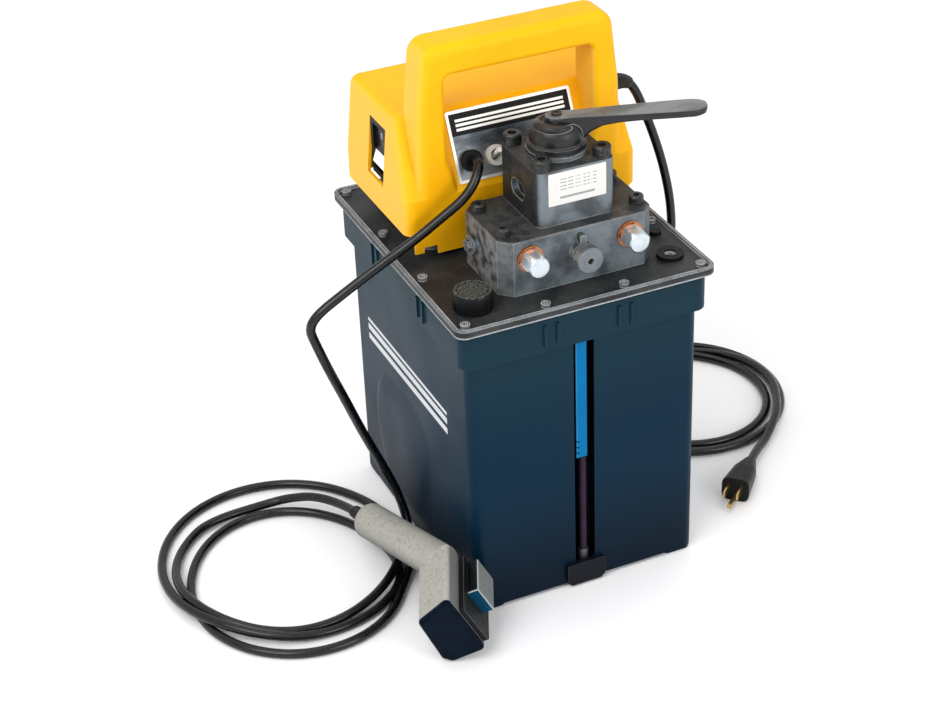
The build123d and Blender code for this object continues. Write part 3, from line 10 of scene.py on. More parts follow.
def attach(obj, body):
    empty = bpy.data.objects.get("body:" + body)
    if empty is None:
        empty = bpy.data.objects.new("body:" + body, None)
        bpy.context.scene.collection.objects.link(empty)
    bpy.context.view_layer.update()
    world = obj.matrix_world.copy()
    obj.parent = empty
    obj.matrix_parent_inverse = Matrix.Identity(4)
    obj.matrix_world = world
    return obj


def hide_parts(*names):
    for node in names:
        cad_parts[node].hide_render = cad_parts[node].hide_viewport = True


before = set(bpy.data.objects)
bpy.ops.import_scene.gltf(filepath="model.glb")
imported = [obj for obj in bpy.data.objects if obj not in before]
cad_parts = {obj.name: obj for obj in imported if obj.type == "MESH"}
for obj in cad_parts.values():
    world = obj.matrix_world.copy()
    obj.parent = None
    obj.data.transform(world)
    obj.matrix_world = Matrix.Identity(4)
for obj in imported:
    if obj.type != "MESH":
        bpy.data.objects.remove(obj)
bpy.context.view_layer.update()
MM = 0.001
ROOT = "unit"

# ---- camera, lights and floor -------------------------------------------------------------
CAMERA_AT = Vector((-0.68374, -1.49582, 1.19489))
CAMERA_HEADING = radians(22.939)
CAMERA_DOWN = radians(31.818)
CAMERA_ROLL = radians(-2.417)
CAMERA_LENS = 80.06


def set_camera():
    ahead = Vector((sin(CAMERA_HEADING) * cos(CAMERA_DOWN),
                    cos(CAMERA_HEADING) * cos(CAMERA_DOWN), -sin(CAMERA_DOWN)))
    level = Vector((cos(CAMERA_HEADING), -sin(CAMERA_HEADING), 0))
    above = level.cross(ahead)
    right = level * cos(CAMERA_ROLL) + above * sin(CAMERA_ROLL)
    up = above * cos(CAMERA_ROLL) - level * sin(CAMERA_ROLL)
    data = bpy.data.cameras.new("camera")
    data.lens = CAMERA_LENS
    data.sensor_width = 36
    data.clip_end = 20
    camera = bpy.data.objects.new("camera", data)
    turn = Matrix((right, up, -ahead)).transposed().to_4x4()
    camera.matrix_world = Matrix.Translation(CAMERA_AT) @ turn
    bpy.context.scene.collection.objects.link(camera)
    bpy.context.scene.camera = camera


def add_light(name, at, aim, size, power, tint=(1, 1, 1)):
    data = bpy.data.lights.new(name, "AREA")
    data.shape = "RECTANGLE"
    data.size, data.size_y = size
    data.energy = power
    data.color = tint
    lamp = bpy.data.objects.new(name, data)
    lamp.location = at
    lamp.rotation_euler = (Vector(aim) - Vector(at)).to_track_quat("-Z", "Y").to_euler()
    bpy.context.scene.collection.objects.link(lamp)


def set_stage():
    world = bpy.data.worlds.new("studio")
    world.use_nodes = True
    background = world.node_tree.nodes["Background"]
    background.inputs["Color"].default_value = (1, 1, 1, 1)
    background.inputs["Strength"].default_value = 0.9
    bpy.context.scene.world = world
    mesh = bpy.data.meshes.new("floor")
    half = 6.0
    mesh.from_pydata([(-half, -half, 0), (half, -half, 0), (half, half, 0), (-half, half, 0)], [],
                     [(0, 1, 2, 3)])
    floor = bpy.data.objects.new("floor", mesh)
    bpy.context.scene.collection.objects.link(floor)
    pale = bpy.data.materials.new("stage_white")
    pale.use_nodes = True
    shader = pale.node_tree.nodes["Principled BSDF"]
    shader.inputs["Base Color"].default_value = (0.93, 0.93, 0.94, 1)
    shader.inputs["Roughness"].default_value = 0.85
    mesh.materials.append(pale)


set_camera()
set_stage()
add_light("key", (-1.3, -0.8, 1.7), (0, 0, 0.25), (1.3, 1.3), 22)
add_light("fill", (0.7, -1.9, 1.0), (0, 0, 0.3), (1.2, 1.0), 14)
add_light("top", (0.1, 0.5, 2.1), (0, 0, 0.3), (1.6, 1.2), 6)

# ---- cords --------------------------------------------------------------------------------
CORD_D = 8.5
EXIT_PENDANT = (-45.0, -12.412, 387.082)
EXIT_POWER = (118.0, 40.0, 404.0)
GRIP_END = Vector((-160.0, -3.0, 35.0))
ELBOW = Vector((-142.0, -128.0, 66.0))
HEAD_TIP = Vector((-169.8, -190.4, 52.3))
GRIP_DIR = (ELBOW - GRIP_END).normalized()
RELIEF_BACK = tuple(GRIP_END - GRIP_DIR * 34)
PLUG_BACK = (221.0, -52.0, 11.5)
PENDANT_ROUTE = [
    EXIT_PENDANT,
    (-45.0, -22.25, 392.0),
    (-49.0, -32.5, 389.5),
    (-56.0, -38.5, 380.0),
    (-67.0, -39.0, 367.0),
    (-85.0, -35.0, 353.0),
    (-112.0, -30.0, 333.0),
    (-146.0, -27.0, 314.5),
    (-178.0, -26.0, 296.5),
    (-201.0, -25.0, 283.0),
    (-209.5, -22.0, 269.0),
    (-204.0, -19.5, 251.0),
    (-193.0, -17.0, 219.0),
    (-176.5, -8.0, 177.0),
    (-161.0, 1.5, 136.0),
    (-146.5, 7.5, 101.0),
    (-134.0, 9.5, 70.0),
    (-124.5, 9.0, 42.0),
    (-123.0, -3.0, 21.0),
    (-126.5, -21.0, 10.5),
    (-133.5, -38.0, 7.0),
]
LEAD_ROUTE = [
    (-222.0, 103.0, 8.5),
    (-206.0, 92.0, 15.5),
    (-188.0, 76.0, 22.0),
    (-169.5, 52.0, 22.5),
    RELIEF_BACK,
]
POWER_ROUTE = [
    EXIT_POWER,
    (128.5, 40.0, 404.0),
    (138.5, 39.5, 394.5),
    (148.0, 38.0, 370.5),
    (159.0, 36.0, 339.0),
    (167.5, 34.0, 308.0),
    (174.0, 32.0, 272.0),
    (177.0, 34.0, 234.0),
    (176.0, 44.0, 196.0),
    (172.0, 62.0, 158.0),
    (168.0, 86.0, 121.0),
    (165.0, 112.0, 86.0),
    (166.0, 139.0, 54.0),
    (172.0, 162.0, 28.0),
    (185.0, 178.0, 11.5),
    (203.0, 185.0, 6.5),
]
PLUG_LEAD_ROUTE = [
    (291.0, 13.0, 12.5),
    (273.0, -6.5, 10.5),
    (254.0, -23.5, 8.0),
    (236.2, -37.6, 10.8),
    PLUG_BACK,
]
PENDANT_COIL_AT = Vector((-240.0, 8.0, 0.0))
POWER_COIL_AT = Vector((228.0, 88.0, 0.0))
COIL_STEP = 20      # degrees between a coil's points
LAYER = 4.4         # height of a cord's middle where it lies on the floor
TURN_BLEND = 0.1    # half the share of a turn over which it changes into the next


def ease(value, low, high):
    """0 below low, 1 above high, and a smooth step between."""
    share = min(1.0, max(0.0, (value - low) / (high - low)))
    return share * share * (3 - 2 * share)


def turn_radius(turn, angle):
    """Distance from the coil's middle on one loose turn: mean, two offsets and a stretch."""
    mean, right, far, tall = turn
    return mean + right * cos(angle) + far * sin(angle) - tall * cos(2 * angle)


def hump(turned, middle, half_width):
    """A long low hump, 1 at its middle, where a turn passes over another."""
    across = (turned - middle) / half_width
    return 0.5 + 0.5 * cos(pi * across) if abs(across) < 1 else 0.0


def coil_points(middle, turns, start, end, humps):
    """Points of a coil wound clockwise from above; angles in degrees, counted clockwise."""
    points = []
    turned = start
    while turned <= end:
        angle = -radians(turned)
        whole = (turned - start) / 360
        index = min(int(whole + 0.5), len(turns) - 1)
        previous = max(index - 1, 0)
        blend = ease(whole - index, -TURN_BLEND, TURN_BLEND)
        radius = (turn_radius(turns[previous], angle) * (1 - blend)
                  + turn_radius(turns[index], angle) * blend)
        height = LAYER + sum(rise * hump(turned, at, width) for at, width, rise in humps)
        points.append(middle + Vector((radius * cos(angle), radius * sin(angle), height)))
        turned += COIL_STEP
    return points


PENDANT_TURNS = [(101.7, -3.5, -24.0, 9.3), (117.7, -2.0, 11.5, 5.7), (102.3, -3.5, 3.0, 0.8)]
PENDANT_HUMPS = [(505, 60, 9.5), (745, 60, 9.5), (880, 60, 9.5), (985, 40, 4.0)]
POWER_TURNS = [(101.5, -2.5, 1.5, 1.0), (84.5, -3.0, -3.0, 0.5), (93.0, -1.0, -2.0, 1.0)]
POWER_HUMPS = [(560, 60, 9.5), (740, 80, 8.5)]


def cord_curve(name, points, material):
    data = bpy.data.curves.new(name, "CURVE")
    data.dimensions = "3D"
    data.bevel_depth = CORD_D / 2 * MM
    data.bevel_resolution = 7
    data.resolution_u = 14
    data.use_fill_caps = True
    spline = data.splines.new("NURBS")
    spline.points.add(len(points) - 1)
    for point, at in zip(spline.points, points):
        point.co = (*(Vector(at) * MM), 1)
    spline.order_u = 3
    spline.use_endpoint_u = True
    data.materials.append(material)
    piece = bpy.data.objects.new(name, data)
    bpy.context.scene.collection.objects.link(piece)
    return piece


# ---- materials ----------------------------------------------------------------------------


class Finish:
    """A procedural material under construction, in the model's own coordinates."""

    def __init__(self, name, color, rough, metal=0.0, specular=0.5, coat=0.0, coat_rough=0.1):
        self.material = bpy.data.materials.new(name)
        self.material.use_nodes = True
        self.tree = self.material.node_tree
        self.shader = self.tree.nodes["Principled BSDF"]
        self.place = self.node("ShaderNodeTexCoord").outputs["Object"]
        self.color = color
        self.rough = rough
        self.height = None
        self.shader.inputs["Metallic"].default_value = metal
        self.shader.inputs["Specular IOR Level"].default_value = specular
        self.shader.inputs["Coat Weight"].default_value = coat
        self.shader.inputs["Coat Roughness"].default_value = coat_rough

    def node(self, kind, **settings):
        made = self.tree.nodes.new(kind)
        for key, value in settings.items():
            setattr(made, key, value)
        return made

    def feed(self, socket, value):
        """Link an output to a socket, or set the socket to a number or a colour."""
        if isinstance(value, bpy.types.NodeSocket):
            self.tree.links.new(value, socket)
        elif isinstance(value, tuple) and len(value) == 3 and socket.type == "RGBA":
            socket.default_value = (*value, 1)
        else:
            socket.default_value = value

    def math(self, operation, first, second=0.0, clamp=False):
        made = self.node("ShaderNodeMath", operation=operation, use_clamp=clamp)
        self.feed(made.inputs[0], first)
        self.feed(made.inputs[1], second)
        return made.outputs[0]

    def stretch(self, scale):
        made = self.node("ShaderNodeMapping")
        self.feed(made.inputs["Vector"], self.place)
        made.inputs["Scale"].default_value = scale
        return made.outputs[0]

    def noise(self, size_mm, detail=3.0, rough=0.55, stretch=None):
        made = self.node("ShaderNodeTexNoise")
        self.feed(made.inputs["Vector"], self.stretch(stretch) if stretch else self.place)
        made.inputs["Scale"].default_value = 1000 / size_mm
        made.inputs["Detail"].default_value = detail
        made.inputs["Roughness"].default_value = rough
        return made.outputs["Fac"]

    def cells(self, size_mm, feature="F1"):
        made = self.node("ShaderNodeTexVoronoi", feature=feature)
        self.feed(made.inputs["Vector"], self.place)
        made.inputs["Scale"].default_value = 1000 / size_mm
        return made.outputs["Distance"]

    def fit(self, value, low, high, out_low=0.0, out_high=1.0):
        made = self.node("ShaderNodeMapRange", interpolation_type="SMOOTHSTEP")
        self.feed(made.inputs["Value"], value)
        for socket, number in (("From Min", low), ("From Max", high),
                               ("To Min", out_low), ("To Max", out_high)):
            made.inputs[socket].default_value = number
        return made.outputs["Result"]

    def along(self, direction, origin=(0, 0, 0)):
        """Millimetres along a direction from a point of the model."""
        unit = Vector(direction).normalized()
        made = self.node("ShaderNodeVectorMath", operation="DOT_PRODUCT")
        self.feed(made.inputs[0], self.place)
        made.inputs[1].default_value = unit * 1000
        return self.math("SUBTRACT", made.outputs["Value"], Vector(origin).dot(unit))

    def edge(self, radius_mm, low=0.02, high=0.25):
        """1 on sharp edges, fading over the radius, from the rounded shading normal."""
        rounded = self.node("ShaderNodeBevel", samples=6)
        rounded.inputs["Radius"].default_value = radius_mm * MM
        plain = self.node("ShaderNodeNewGeometry")
        dot = self.node("ShaderNodeVectorMath", operation="DOT_PRODUCT")
        self.feed(dot.inputs[0], rounded.outputs["Normal"])
        self.feed(dot.inputs[1], plain.outputs["Normal"])
        return self.fit(self.math("SUBTRACT", 1.0, dot.outputs["Value"]), low, high)

    def facing(self, direction, low=0.5, high=0.9):
        """1 on faces turned to a direction."""
        dot = self.node("ShaderNodeVectorMath", operation="DOT_PRODUCT")
        self.feed(dot.inputs[0], self.node("ShaderNodeNewGeometry").outputs["True Normal"])
        dot.inputs[1].default_value = Vector(direction).normalized()
        return self.fit(dot.outputs["Value"], low, high)

    def mix(self, amount, first, second):
        made = self.node("ShaderNodeMix", data_type="RGBA")
        self.feed(made.inputs["Factor"], amount)
        self.feed(made.inputs["A"], first)
        self.feed(made.inputs["B"], second)
        return made.outputs["Result"]

    def tint(self, amount, color):
        """Lay a colour over what is there, by a mask or an amount."""
        self.color = self.mix(amount, self.color, color)

    def gloss(self, amount, rough):
        """Move the roughness towards a value, by a mask."""
        difference = self.math("SUBTRACT", rough, self.rough)
        self.rough = self.math("ADD", self.rough, self.math("MULTIPLY", amount, difference))

    def relief(self, height, depth_mm):
        """Add to the surface's relief."""
        scaled = self.math("MULTIPLY", height, depth_mm)
        self.height = self.math("ADD", self.height, scaled) if self.height else scaled

    def done(self):
        self.feed(self.shader.inputs["Base Color"], self.color)
        self.feed(self.shader.inputs["Roughness"], self.rough)
        if self.height:
            bump = self.node("ShaderNodeBump")
            bump.inputs["Distance"].default_value = MM
            bump.inputs["Strength"].default_value = 1.0
            self.feed(bump.inputs["Height"], self.height)
            self.feed(self.shader.inputs["Normal"], bump.outputs["Normal"])
        return self.material


def moulded_yellow():
    look = Finish("moulded_yellow", (0.88, 0.435, 0.002), 0.40, specular=0.14)
    look.tint(look.fit(look.noise(60, 3), 0.35, 0.7, 0, 0.45), (0.80, 0.36, 0.001))
    look.tint(look.fit(look.noise(9, 4), 0.55, 0.8, 0, 0.12), (0.92, 0.50, 0.03))
    # painted light: faces turned to the left, where the key light falls, are paler
    look.tint(look.math("MULTIPLY", look.facing((-1, 0, 0)), 0.6), (0.90, 0.50, 0.07))
    look.tint(look.math("MULTIPLY", look.edge(1.6), 0.3), (0.95, 0.58, 0.10))
    look.gloss(look.noise(14, 4), 0.52)
    look.relief(look.noise(0.9, 2), 0.022)
    look.relief(look.noise(30, 2), 0.05)
    return look.done()


WALL_HALF = 110.5
SWAGE_MID = (1.7, 88.7)
SWAGE_PROFILE = [(92.2, -0.6), (91.8, 0.0), (89.0, 0.5), (85.5, 1.5), (83.0, 1.9), (80.0, 2.0),
                 (70.0, 2.0), (60.0, 2.0), (50.0, 2.0), (40.0, 2.0), (28.0, 2.0), (15.0, 2.0),
                 (3.0, 2.0)]
SWAGE_ROOT = -0.6            # offset of its edge from the wall; below 0 is inside
SWAGE_FOOT = 5.0             # the lowest that it reaches
SWAGE_SIDES = 160
SWAGE_SHADE_RADIUS = 86.5          # the middle of the painted shade in the step round the swage
LINES_MID, LINES_HALF = 9, 92
WALL_LINES = ((187.0, 1.6), (179.0, 3.0), (168.5, 3.0))  # level and half width


def tank_enamel():
    look = Finish("tank_enamel", (0.0002, 0.016, 0.036), 0.36, specular=0.09)
    height = look.along((0, 0, 1))
    # painted light and shade: the enamel is lighter towards the top and darker towards the bottom
    look.tint(look.fit(height, 150, 290, 0, 0.75), (0.007, 0.028, 0.040))
    look.tint(look.fit(height, 130, 5, 0, 0.92), (0.0001, 0.005, 0.014))
    look.tint(look.fit(look.noise(90, 2), 0.45, 0.8, 0, 0.15), (0.003, 0.024, 0.042))
    look.tint(look.fit(look.noise(2.2, 3), 0.66, 0.76, 0, 0.30), (0.03, 0.05, 0.06))
    # painted shade: the inside of the sight gauge's channel is darkened almost to black
    across = look.fit(look.math("ABSOLUTE", look.along((1, 0, 0))), 17, 15)
    deep = look.fit(look.along((0, 1, 0)), -133.6, -132.6)
    channel_shade = look.math("MULTIPLY", look.math("MULTIPLY", across, deep), look.fit(
        look.along((0, 1, 0)), -110, -112))
    look.tint(look.math("MULTIPLY", channel_shade, 0.92), (0.0003, 0.0006, 0.0012))
    look.tint(look.math("MULTIPLY", look.edge(1.2), 0.6), (0.022, 0.045, 0.065))
    look.gloss(look.fit(look.noise(80, 2), 0.3, 0.8), 0.46)
    look.relief(look.noise(1.3, 3), 0.03)
    look.relief(look.noise(120, 1), 0.10)
    left = look.facing((-1, 0, 0))
    # painted shade in the step round the swage of the left wall, on its far arc
    north = look.along((0, 1, 0), (0, SWAGE_MID[0], 0))
    rise = look.along((0, 0, 1), (0, 0, SWAGE_MID[1]))
    ring = look.math("SQRT", look.math("ADD", look.math("MULTIPLY", north, north),
                                       look.math("MULTIPLY", rise, rise)))
    off = look.math("ABSOLUTE", look.math("SUBTRACT", ring, SWAGE_SHADE_RADIUS))
    far = look.math("MULTIPLY", look.fit(north, 10, 60), look.fit(rise, 75, 45))
    swage_shade = look.math("MULTIPLY", look.fit(off, 8, 1, 0, 0.8), far)
    look.tint(look.math("MULTIPLY", swage_shade, left), (0.0002, 0.009, 0.022))
    # three plain lines on the left wall
    across = look.math("ABSOLUTE", look.along((0, 1, 0), (0, LINES_MID, 0)))
    for level, half in WALL_LINES:
        off = look.math("ABSOLUTE", look.along((0, 0, 1), (0, 0, level)))
        line = look.math("MULTIPLY", look.fit(off, half + 0.3, half),
                         look.fit(across, LINES_HALF + 0.4, LINES_HALF))
        chips = look.fit(look.noise(2.5, 4), 0.30, 0.38, 0.55, 1)
        look.tint(look.math("MULTIPLY", look.math("MULTIPLY", line, left), chips),
                  (0.62, 0.64, 0.66))
    return look.done()


def grained_lid():
    look = Finish("grained_lid", (0.010, 0.012, 0.0145), 0.44, specular=0.22)
    look.tint(look.fit(look.noise(35, 4), 0.36, 0.68, 0, 0.8), (0.038, 0.040, 0.040))
    look.tint(look.fit(look.noise(1.6, 3), 0.56, 0.70, 0, 0.6), (0.065, 0.066, 0.064))
    # painted highlight: pale bands along the lid's rim edges, broken by noise
    edge_wear_and_highlight = look.math("MULTIPLY", look.edge(3.0, 0.006, 0.09), look.fit(look.noise(14, 4), 0.3, 0.6,
                                                                      0.6, 1))
    look.tint(edge_wear_and_highlight, (0.50, 0.52, 0.54))
    look.gloss(edge_wear_and_highlight, 0.32)
    look.relief(look.noise(1.1, 3), 0.10)
    return look.done()


def worn_iron(name="worn_iron", base=(0.011, 0.013, 0.015), pale_edges=(0.42, 0.42, 0.41)):
    look = Finish(name, base, 0.36, specular=0.25)
    look.tint(look.fit(look.noise(30, 5), 0.42, 0.7, 0, 0.6), tuple(2.2 * c for c in base))
    # painted sheen: faces turned to the front are lighter grey-blue, in patches
    look.tint(look.math("MULTIPLY", look.facing((0, -1, 0.1)), look.fit(
        look.noise(34, 4), 0.34, 0.60, 0.3, 1)), (0.15, 0.178, 0.198))
    # painted light: the manifold's left faces, below its top, are lighter grey
    left = look.math("MULTIPLY", look.facing((-1, 0, 0)), look.fit(look.along((0, 0, 1)), 355, 353))
    look.tint(look.math("MULTIPLY", left, look.fit(look.noise(11, 5), 0.36, 0.6, 0.1, 0.85)),
              (0.20, 0.20, 0.195))
    look.tint(look.math("MULTIPLY", look.facing((0, 0, 1)), look.fit(
        look.noise(10, 5), 0.36, 0.62, 0.15, 0.85)), (0.052, 0.053, 0.050))
    look.tint(look.fit(look.noise(5, 4), 0.56, 0.72, 0, 0.45), (0.06, 0.06, 0.057))
    look.tint(look.fit(look.noise(1.4, 3), 0.60, 0.72, 0, 0.5), (0.18, 0.175, 0.165))
    # paler edges: wear, and on the lid screws painted highlight
    edge_wear_and_highlight = look.math("MULTIPLY", look.edge(1.3, 0.01, 0.14), look.fit(look.noise(7, 4), 0.32, 0.55,
                                                                      0.35, 1))
    look.tint(edge_wear_and_highlight, pale_edges)
    look.gloss(look.fit(look.noise(12, 4), 0.35, 0.7), 0.58)
    look.relief(look.noise(1.5, 4), 0.07)
    look.relief(look.noise(16, 3), 0.20)
    return look.done()


def black_oxide():
    look = Finish("black_oxide", (0.018, 0.019, 0.020), 0.32, metal=0.5, specular=0.3)
    look.tint(look.fit(look.noise(1.2, 3), 0.44, 0.66, 0, 0.5), (0.12, 0.12, 0.116))
    look.tint(look.math("MULTIPLY", look.edge(0.5), 0.85), (0.45, 0.45, 0.44))
    look.relief(look.noise(0.8, 3), 0.03)
    return look.done()


def bright_zinc():
    look = Finish("bright_zinc", (0.60, 0.66, 0.70), 0.30, metal=0.9)
    look.tint(look.fit(look.noise(8, 3), 0.45, 0.75, 0, 0.4), (0.40, 0.46, 0.50))
    look.tint(look.math("MULTIPLY", look.edge(0.6), 0.6), (0.92, 0.94, 0.95))
    look.gloss(look.fit(look.noise(6, 3), 0.4, 0.7), 0.38)
    look.relief(look.noise(3.0, 2), 0.01)
    return look.done()


def copper():
    look = Finish("copper", (0.55, 0.20, 0.08), 0.30, metal=0.95)
    look.tint(look.fit(look.noise(3, 4), 0.45, 0.7, 0, 0.7), (0.30, 0.09, 0.035))
    look.tint(look.math("MULTIPLY", look.edge(0.4), 0.7), (0.85, 0.42, 0.22))
    look.relief(look.noise(0.8, 3), 0.03)
    return look.done()


def bare_steel(name="bare_steel", base=(0.42, 0.42, 0.42), rough=0.34):
    look = Finish(name, base, rough, metal=0.95)
    look.tint(look.fit(look.noise(5, 5, stretch=(1, 1, 0.15)), 0.4, 0.7, 0, 0.5),
              tuple(0.6 * c for c in base))
    look.tint(look.math("MULTIPLY", look.edge(0.5), 0.6), (0.7, 0.7, 0.7))
    look.gloss(look.fit(look.noise(7, 4), 0.4, 0.7), rough + 0.15)
    look.relief(look.noise(0.9, 3, stretch=(1, 1, 0.1)), 0.02)
    return look.done()


def motor_paint():
    look = Finish("motor_paint", (0.16, 0.17, 0.18), 0.45, specular=0.45)
    look.tint(look.fit(look.noise(20, 4), 0.4, 0.7, 0, 0.5), (0.11, 0.115, 0.12))
    look.tint(look.math("MULTIPLY", look.edge(0.8), 0.7), (0.35, 0.36, 0.37))
    look.relief(look.noise(1.2, 3), 0.04)
    return look.done()


def plastic(name, base, rough=0.42, grain=0.035, pale_edges=0.22, specular=0.16):
    look = Finish(name, base, rough, specular=specular)
    look.tint(look.fit(look.noise(12, 4), 0.4, 0.75, 0, 0.35), tuple(0.7 * c for c in base))
    # paler edges: wear, and on the pendant frame painted highlight
    look.tint(look.math("MULTIPLY", look.edge(0.7), pale_edges), tuple(0.25 + 0.7 * c for c in base))
    look.gloss(look.fit(look.noise(5, 3), 0.35, 0.7), rough + 0.12)
    look.relief(look.noise(0.8, 3), grain)
    return look.done()


def cord_jacket():
    look = Finish("cord_jacket", (0.0012, 0.0015, 0.0020), 0.20, specular=0.42)
    look.tint(look.fit(look.noise(14, 4), 0.4, 0.75, 0, 0.6), (0.004, 0.005, 0.0065))
    look.tint(look.fit(look.noise(1.2, 2), 0.68, 0.78, 0, 0.2), (0.03, 0.033, 0.036))
    look.gloss(look.fit(look.noise(8, 3), 0.35, 0.7), 0.34)
    look.relief(look.noise(1.6, 3), 0.03)
    return look.done()


def grained_grip():
    look = Finish("grained_grip", (0.36, 0.35, 0.31), 0.60, specular=0.2)
    # painted shade: faces turned downwards are darker
    low = look.facing((0.45, -0.25, -0.85), -0.75, 0.35)
    look.tint(look.math("MULTIPLY", low, 0.85), (0.055, 0.062, 0.066))
    look.tint(look.fit(look.noise(3.2, 5), 0.42, 0.72, 0, 0.5), (0.17, 0.17, 0.155))
    look.tint(look.fit(look.noise(20, 3), 0.50, 0.75, 0, 0.3), (0.22, 0.22, 0.20))
    look.tint(look.math("MULTIPLY", look.edge(0.9), 0.35), (0.36, 0.35, 0.32))
    look.relief(look.noise(1.1, 4), 0.14)
    return look.done()


def head_cap():
    look = Finish("head_cap", (0.0001, 0.0035, 0.011), 0.36, specular=0.04)
    look.tint(look.fit(look.noise(16, 4), 0.45, 0.75, 0, 0.5), (0.0005, 0.009, 0.022))
    look.tint(look.math("MULTIPLY", look.edge(1.0), 0.7), (0.05, 0.085, 0.11))
    look.relief(look.noise(1.0, 3), 0.05)
    return look.done()


FACE_UP = Vector((0, 0.4472, 0.8944))
PANEL_MID = Vector((0, 0.75, 395.5))
PANEL_SIZE = (119.0, 63.0)
PANEL_BORDER = 2.6
PANEL_HEADER = 22.0


def panel_plate():
    look = Finish("panel_plate", (0.30, 0.32, 0.33), 0.30, metal=0.6, specular=0.3)
    across = look.math("ABSOLUTE", look.along((1, 0, 0), PANEL_MID))
    up = look.along(FACE_UP, PANEL_MID)
    half_w, half_h = PANEL_SIZE[0] / 2, PANEL_SIZE[1] / 2
    look.tint(look.fit(look.noise(22, 4, stretch=(0.4, 1, 1)), 0.35, 0.65, 0, 0.75),
              (0.10, 0.13, 0.15))
    look.tint(look.fit(look.noise(1.2, 3, stretch=(0.1, 1, 1)), 0.5, 0.7, 0, 0.3),
              (0.7, 0.72, 0.72))
    shade = look.fit(up, -half_h + 10, half_h - PANEL_HEADER - 6, 0, 0.85)
    look.tint(look.math("MULTIPLY", shade, look.fit(look.noise(30, 3), 0.3, 0.6, 0.6, 1)),
              (0.014, 0.022, 0.032))
    header = look.fit(up, half_h - PANEL_HEADER - 0.15, half_h - PANEL_HEADER + 0.15)
    look.tint(header, (0.006, 0.006, 0.007))
    stripe_at = half_h - PANEL_HEADER + 5.0
    for offset in (0, 4.0, 8.0):
        distance = look.math("ABSOLUTE", look.math("SUBTRACT", up, stripe_at + offset))
        stripe = look.math("MULTIPLY", look.fit(distance, 1.25, 1.05), look.fit(across, 52, 51.6))
        look.tint(stripe, (0.80, 0.79, 0.74))
    side = look.fit(across, half_w - PANEL_BORDER - 0.15, half_w - PANEL_BORDER + 0.15)
    ends = look.fit(look.math("ABSOLUTE", up), half_h - PANEL_BORDER - 0.15,
                    half_h - PANEL_BORDER + 0.15)
    border = look.math("MAXIMUM", side, ends)
    look.tint(border, (0.84, 0.83, 0.78))
    look.gloss(look.math("MAXIMUM", border, header), 0.45)
    look.relief(look.noise(0.7, 2, stretch=(0.1, 1, 1)), 0.012)
    return look.done()


PLATE_MID = Vector((12.5, -95.1, 388.0))


def data_plate():
    look = Finish("data_plate", (0.68, 0.67, 0.65), 0.35, specular=0.15)
    across = look.along((1, 0, 0), PLATE_MID)
    up = look.along((0, 0, 1), PLATE_MID)
    for row in range(4):
        distance = look.math("ABSOLUTE", look.math("SUBTRACT", up, 8.5 - 3.2 * row))
        line = look.fit(distance, 0.55, 0.3)
        broken = look.fit(look.noise(1.4, 2, stretch=(1, 0.01, 0.02)), 0.46, 0.52)
        column = look.math("MULTIPLY", look.fit(across, -21, -20.5), look.fit(across, 18, 17.5))
        look.tint(look.math("MULTIPLY", look.math("MULTIPLY", line, broken),
                            look.math("MULTIPLY", column, 0.9)), (0.22, 0.22, 0.23))
    distance = look.math("ABSOLUTE", look.math("ADD", up, 8.5))
    bar = look.math("MULTIPLY", look.fit(distance, 1.2, 0.9),
                    look.fit(look.math("ABSOLUTE", across), 16.5, 16.1))
    look.tint(bar, (0.30, 0.30, 0.31))
    look.tint(look.fit(look.noise(15, 4), 0.5, 0.8, 0, 0.25), (0.70, 0.69, 0.66))
    look.tint(look.math("MULTIPLY", look.edge(0.5), 0.6), (0.45, 0.45, 0.45))
    look.relief(look.noise(1.5, 3), 0.01)
    return look.done()


def rocker_faces():
    """Main rocker: black above its middle, white below, with a plain grey mark above."""
    look = Finish("rocker_faces", (0.84, 0.84, 0.82), 0.28, specular=0.25)
    above = look.along((0, 0, 1), (0, 0, 383.0))
    look.tint(look.fit(above, -4.0, -3.4), (0.008, 0.008, 0.009))
    distance = look.math("ABSOLUTE", look.math("SUBTRACT", above, 13.0))
    sideways = look.math("ABSOLUTE", look.along((0, 1, 0), (0, 52.0, 0)))
    mark = look.math("MULTIPLY", look.fit(distance, 3.2, 2.9), look.fit(sideways, 1.0, 0.7))
    look.tint(mark, (0.5, 0.5, 0.5))
    look.tint(look.fit(look.noise(6, 3), 0.55, 0.8, 0, 0.15), (0.4, 0.4, 0.38))
    look.relief(look.noise(1.0, 3), 0.015)
    return look.done()


def gauge_blue():
    look = Finish("gauge_blue", (0.0003, 0.135, 0.33), 0.32, specular=0.06)
    look.tint(look.fit(look.noise(18, 3, stretch=(1, 1, 0.3)), 0.4, 0.7, 0, 0.5),
              (0.0005, 0.11, 0.29))
    # painted highlight: a pale band along the strip's left edge
    look.tint(look.fit(look.along((1, 0, 0)), -8.8, -8.3, 0.55, 0), (0.08, 0.40, 0.62))
    look.relief(look.noise(1.6, 3), 0.03)
    return look.done()


def gauge_tube():
    look = Finish("gauge_tube", (0.012, 0.005, 0.015), 0.22, specular=0.2)
    look.tint(look.fit(look.noise(10, 4, stretch=(1, 1, 0.3)), 0.4, 0.7, 0, 0.7),
              (0.028, 0.010, 0.032))
    look.relief(look.noise(3, 2), 0.02)
    return look.done()


def brass_blades():
    look = Finish("brass_blades", (0.62, 0.42, 0.14), 0.25, metal=0.95)
    look.tint(look.fit(look.noise(4, 4), 0.45, 0.7, 0, 0.6), (0.35, 0.22, 0.07))
    look.tint(look.math("MULTIPLY", look.edge(0.4), 0.7), (0.9, 0.72, 0.38))
    look.relief(look.noise(1.0, 3), 0.02)
    return look.done()


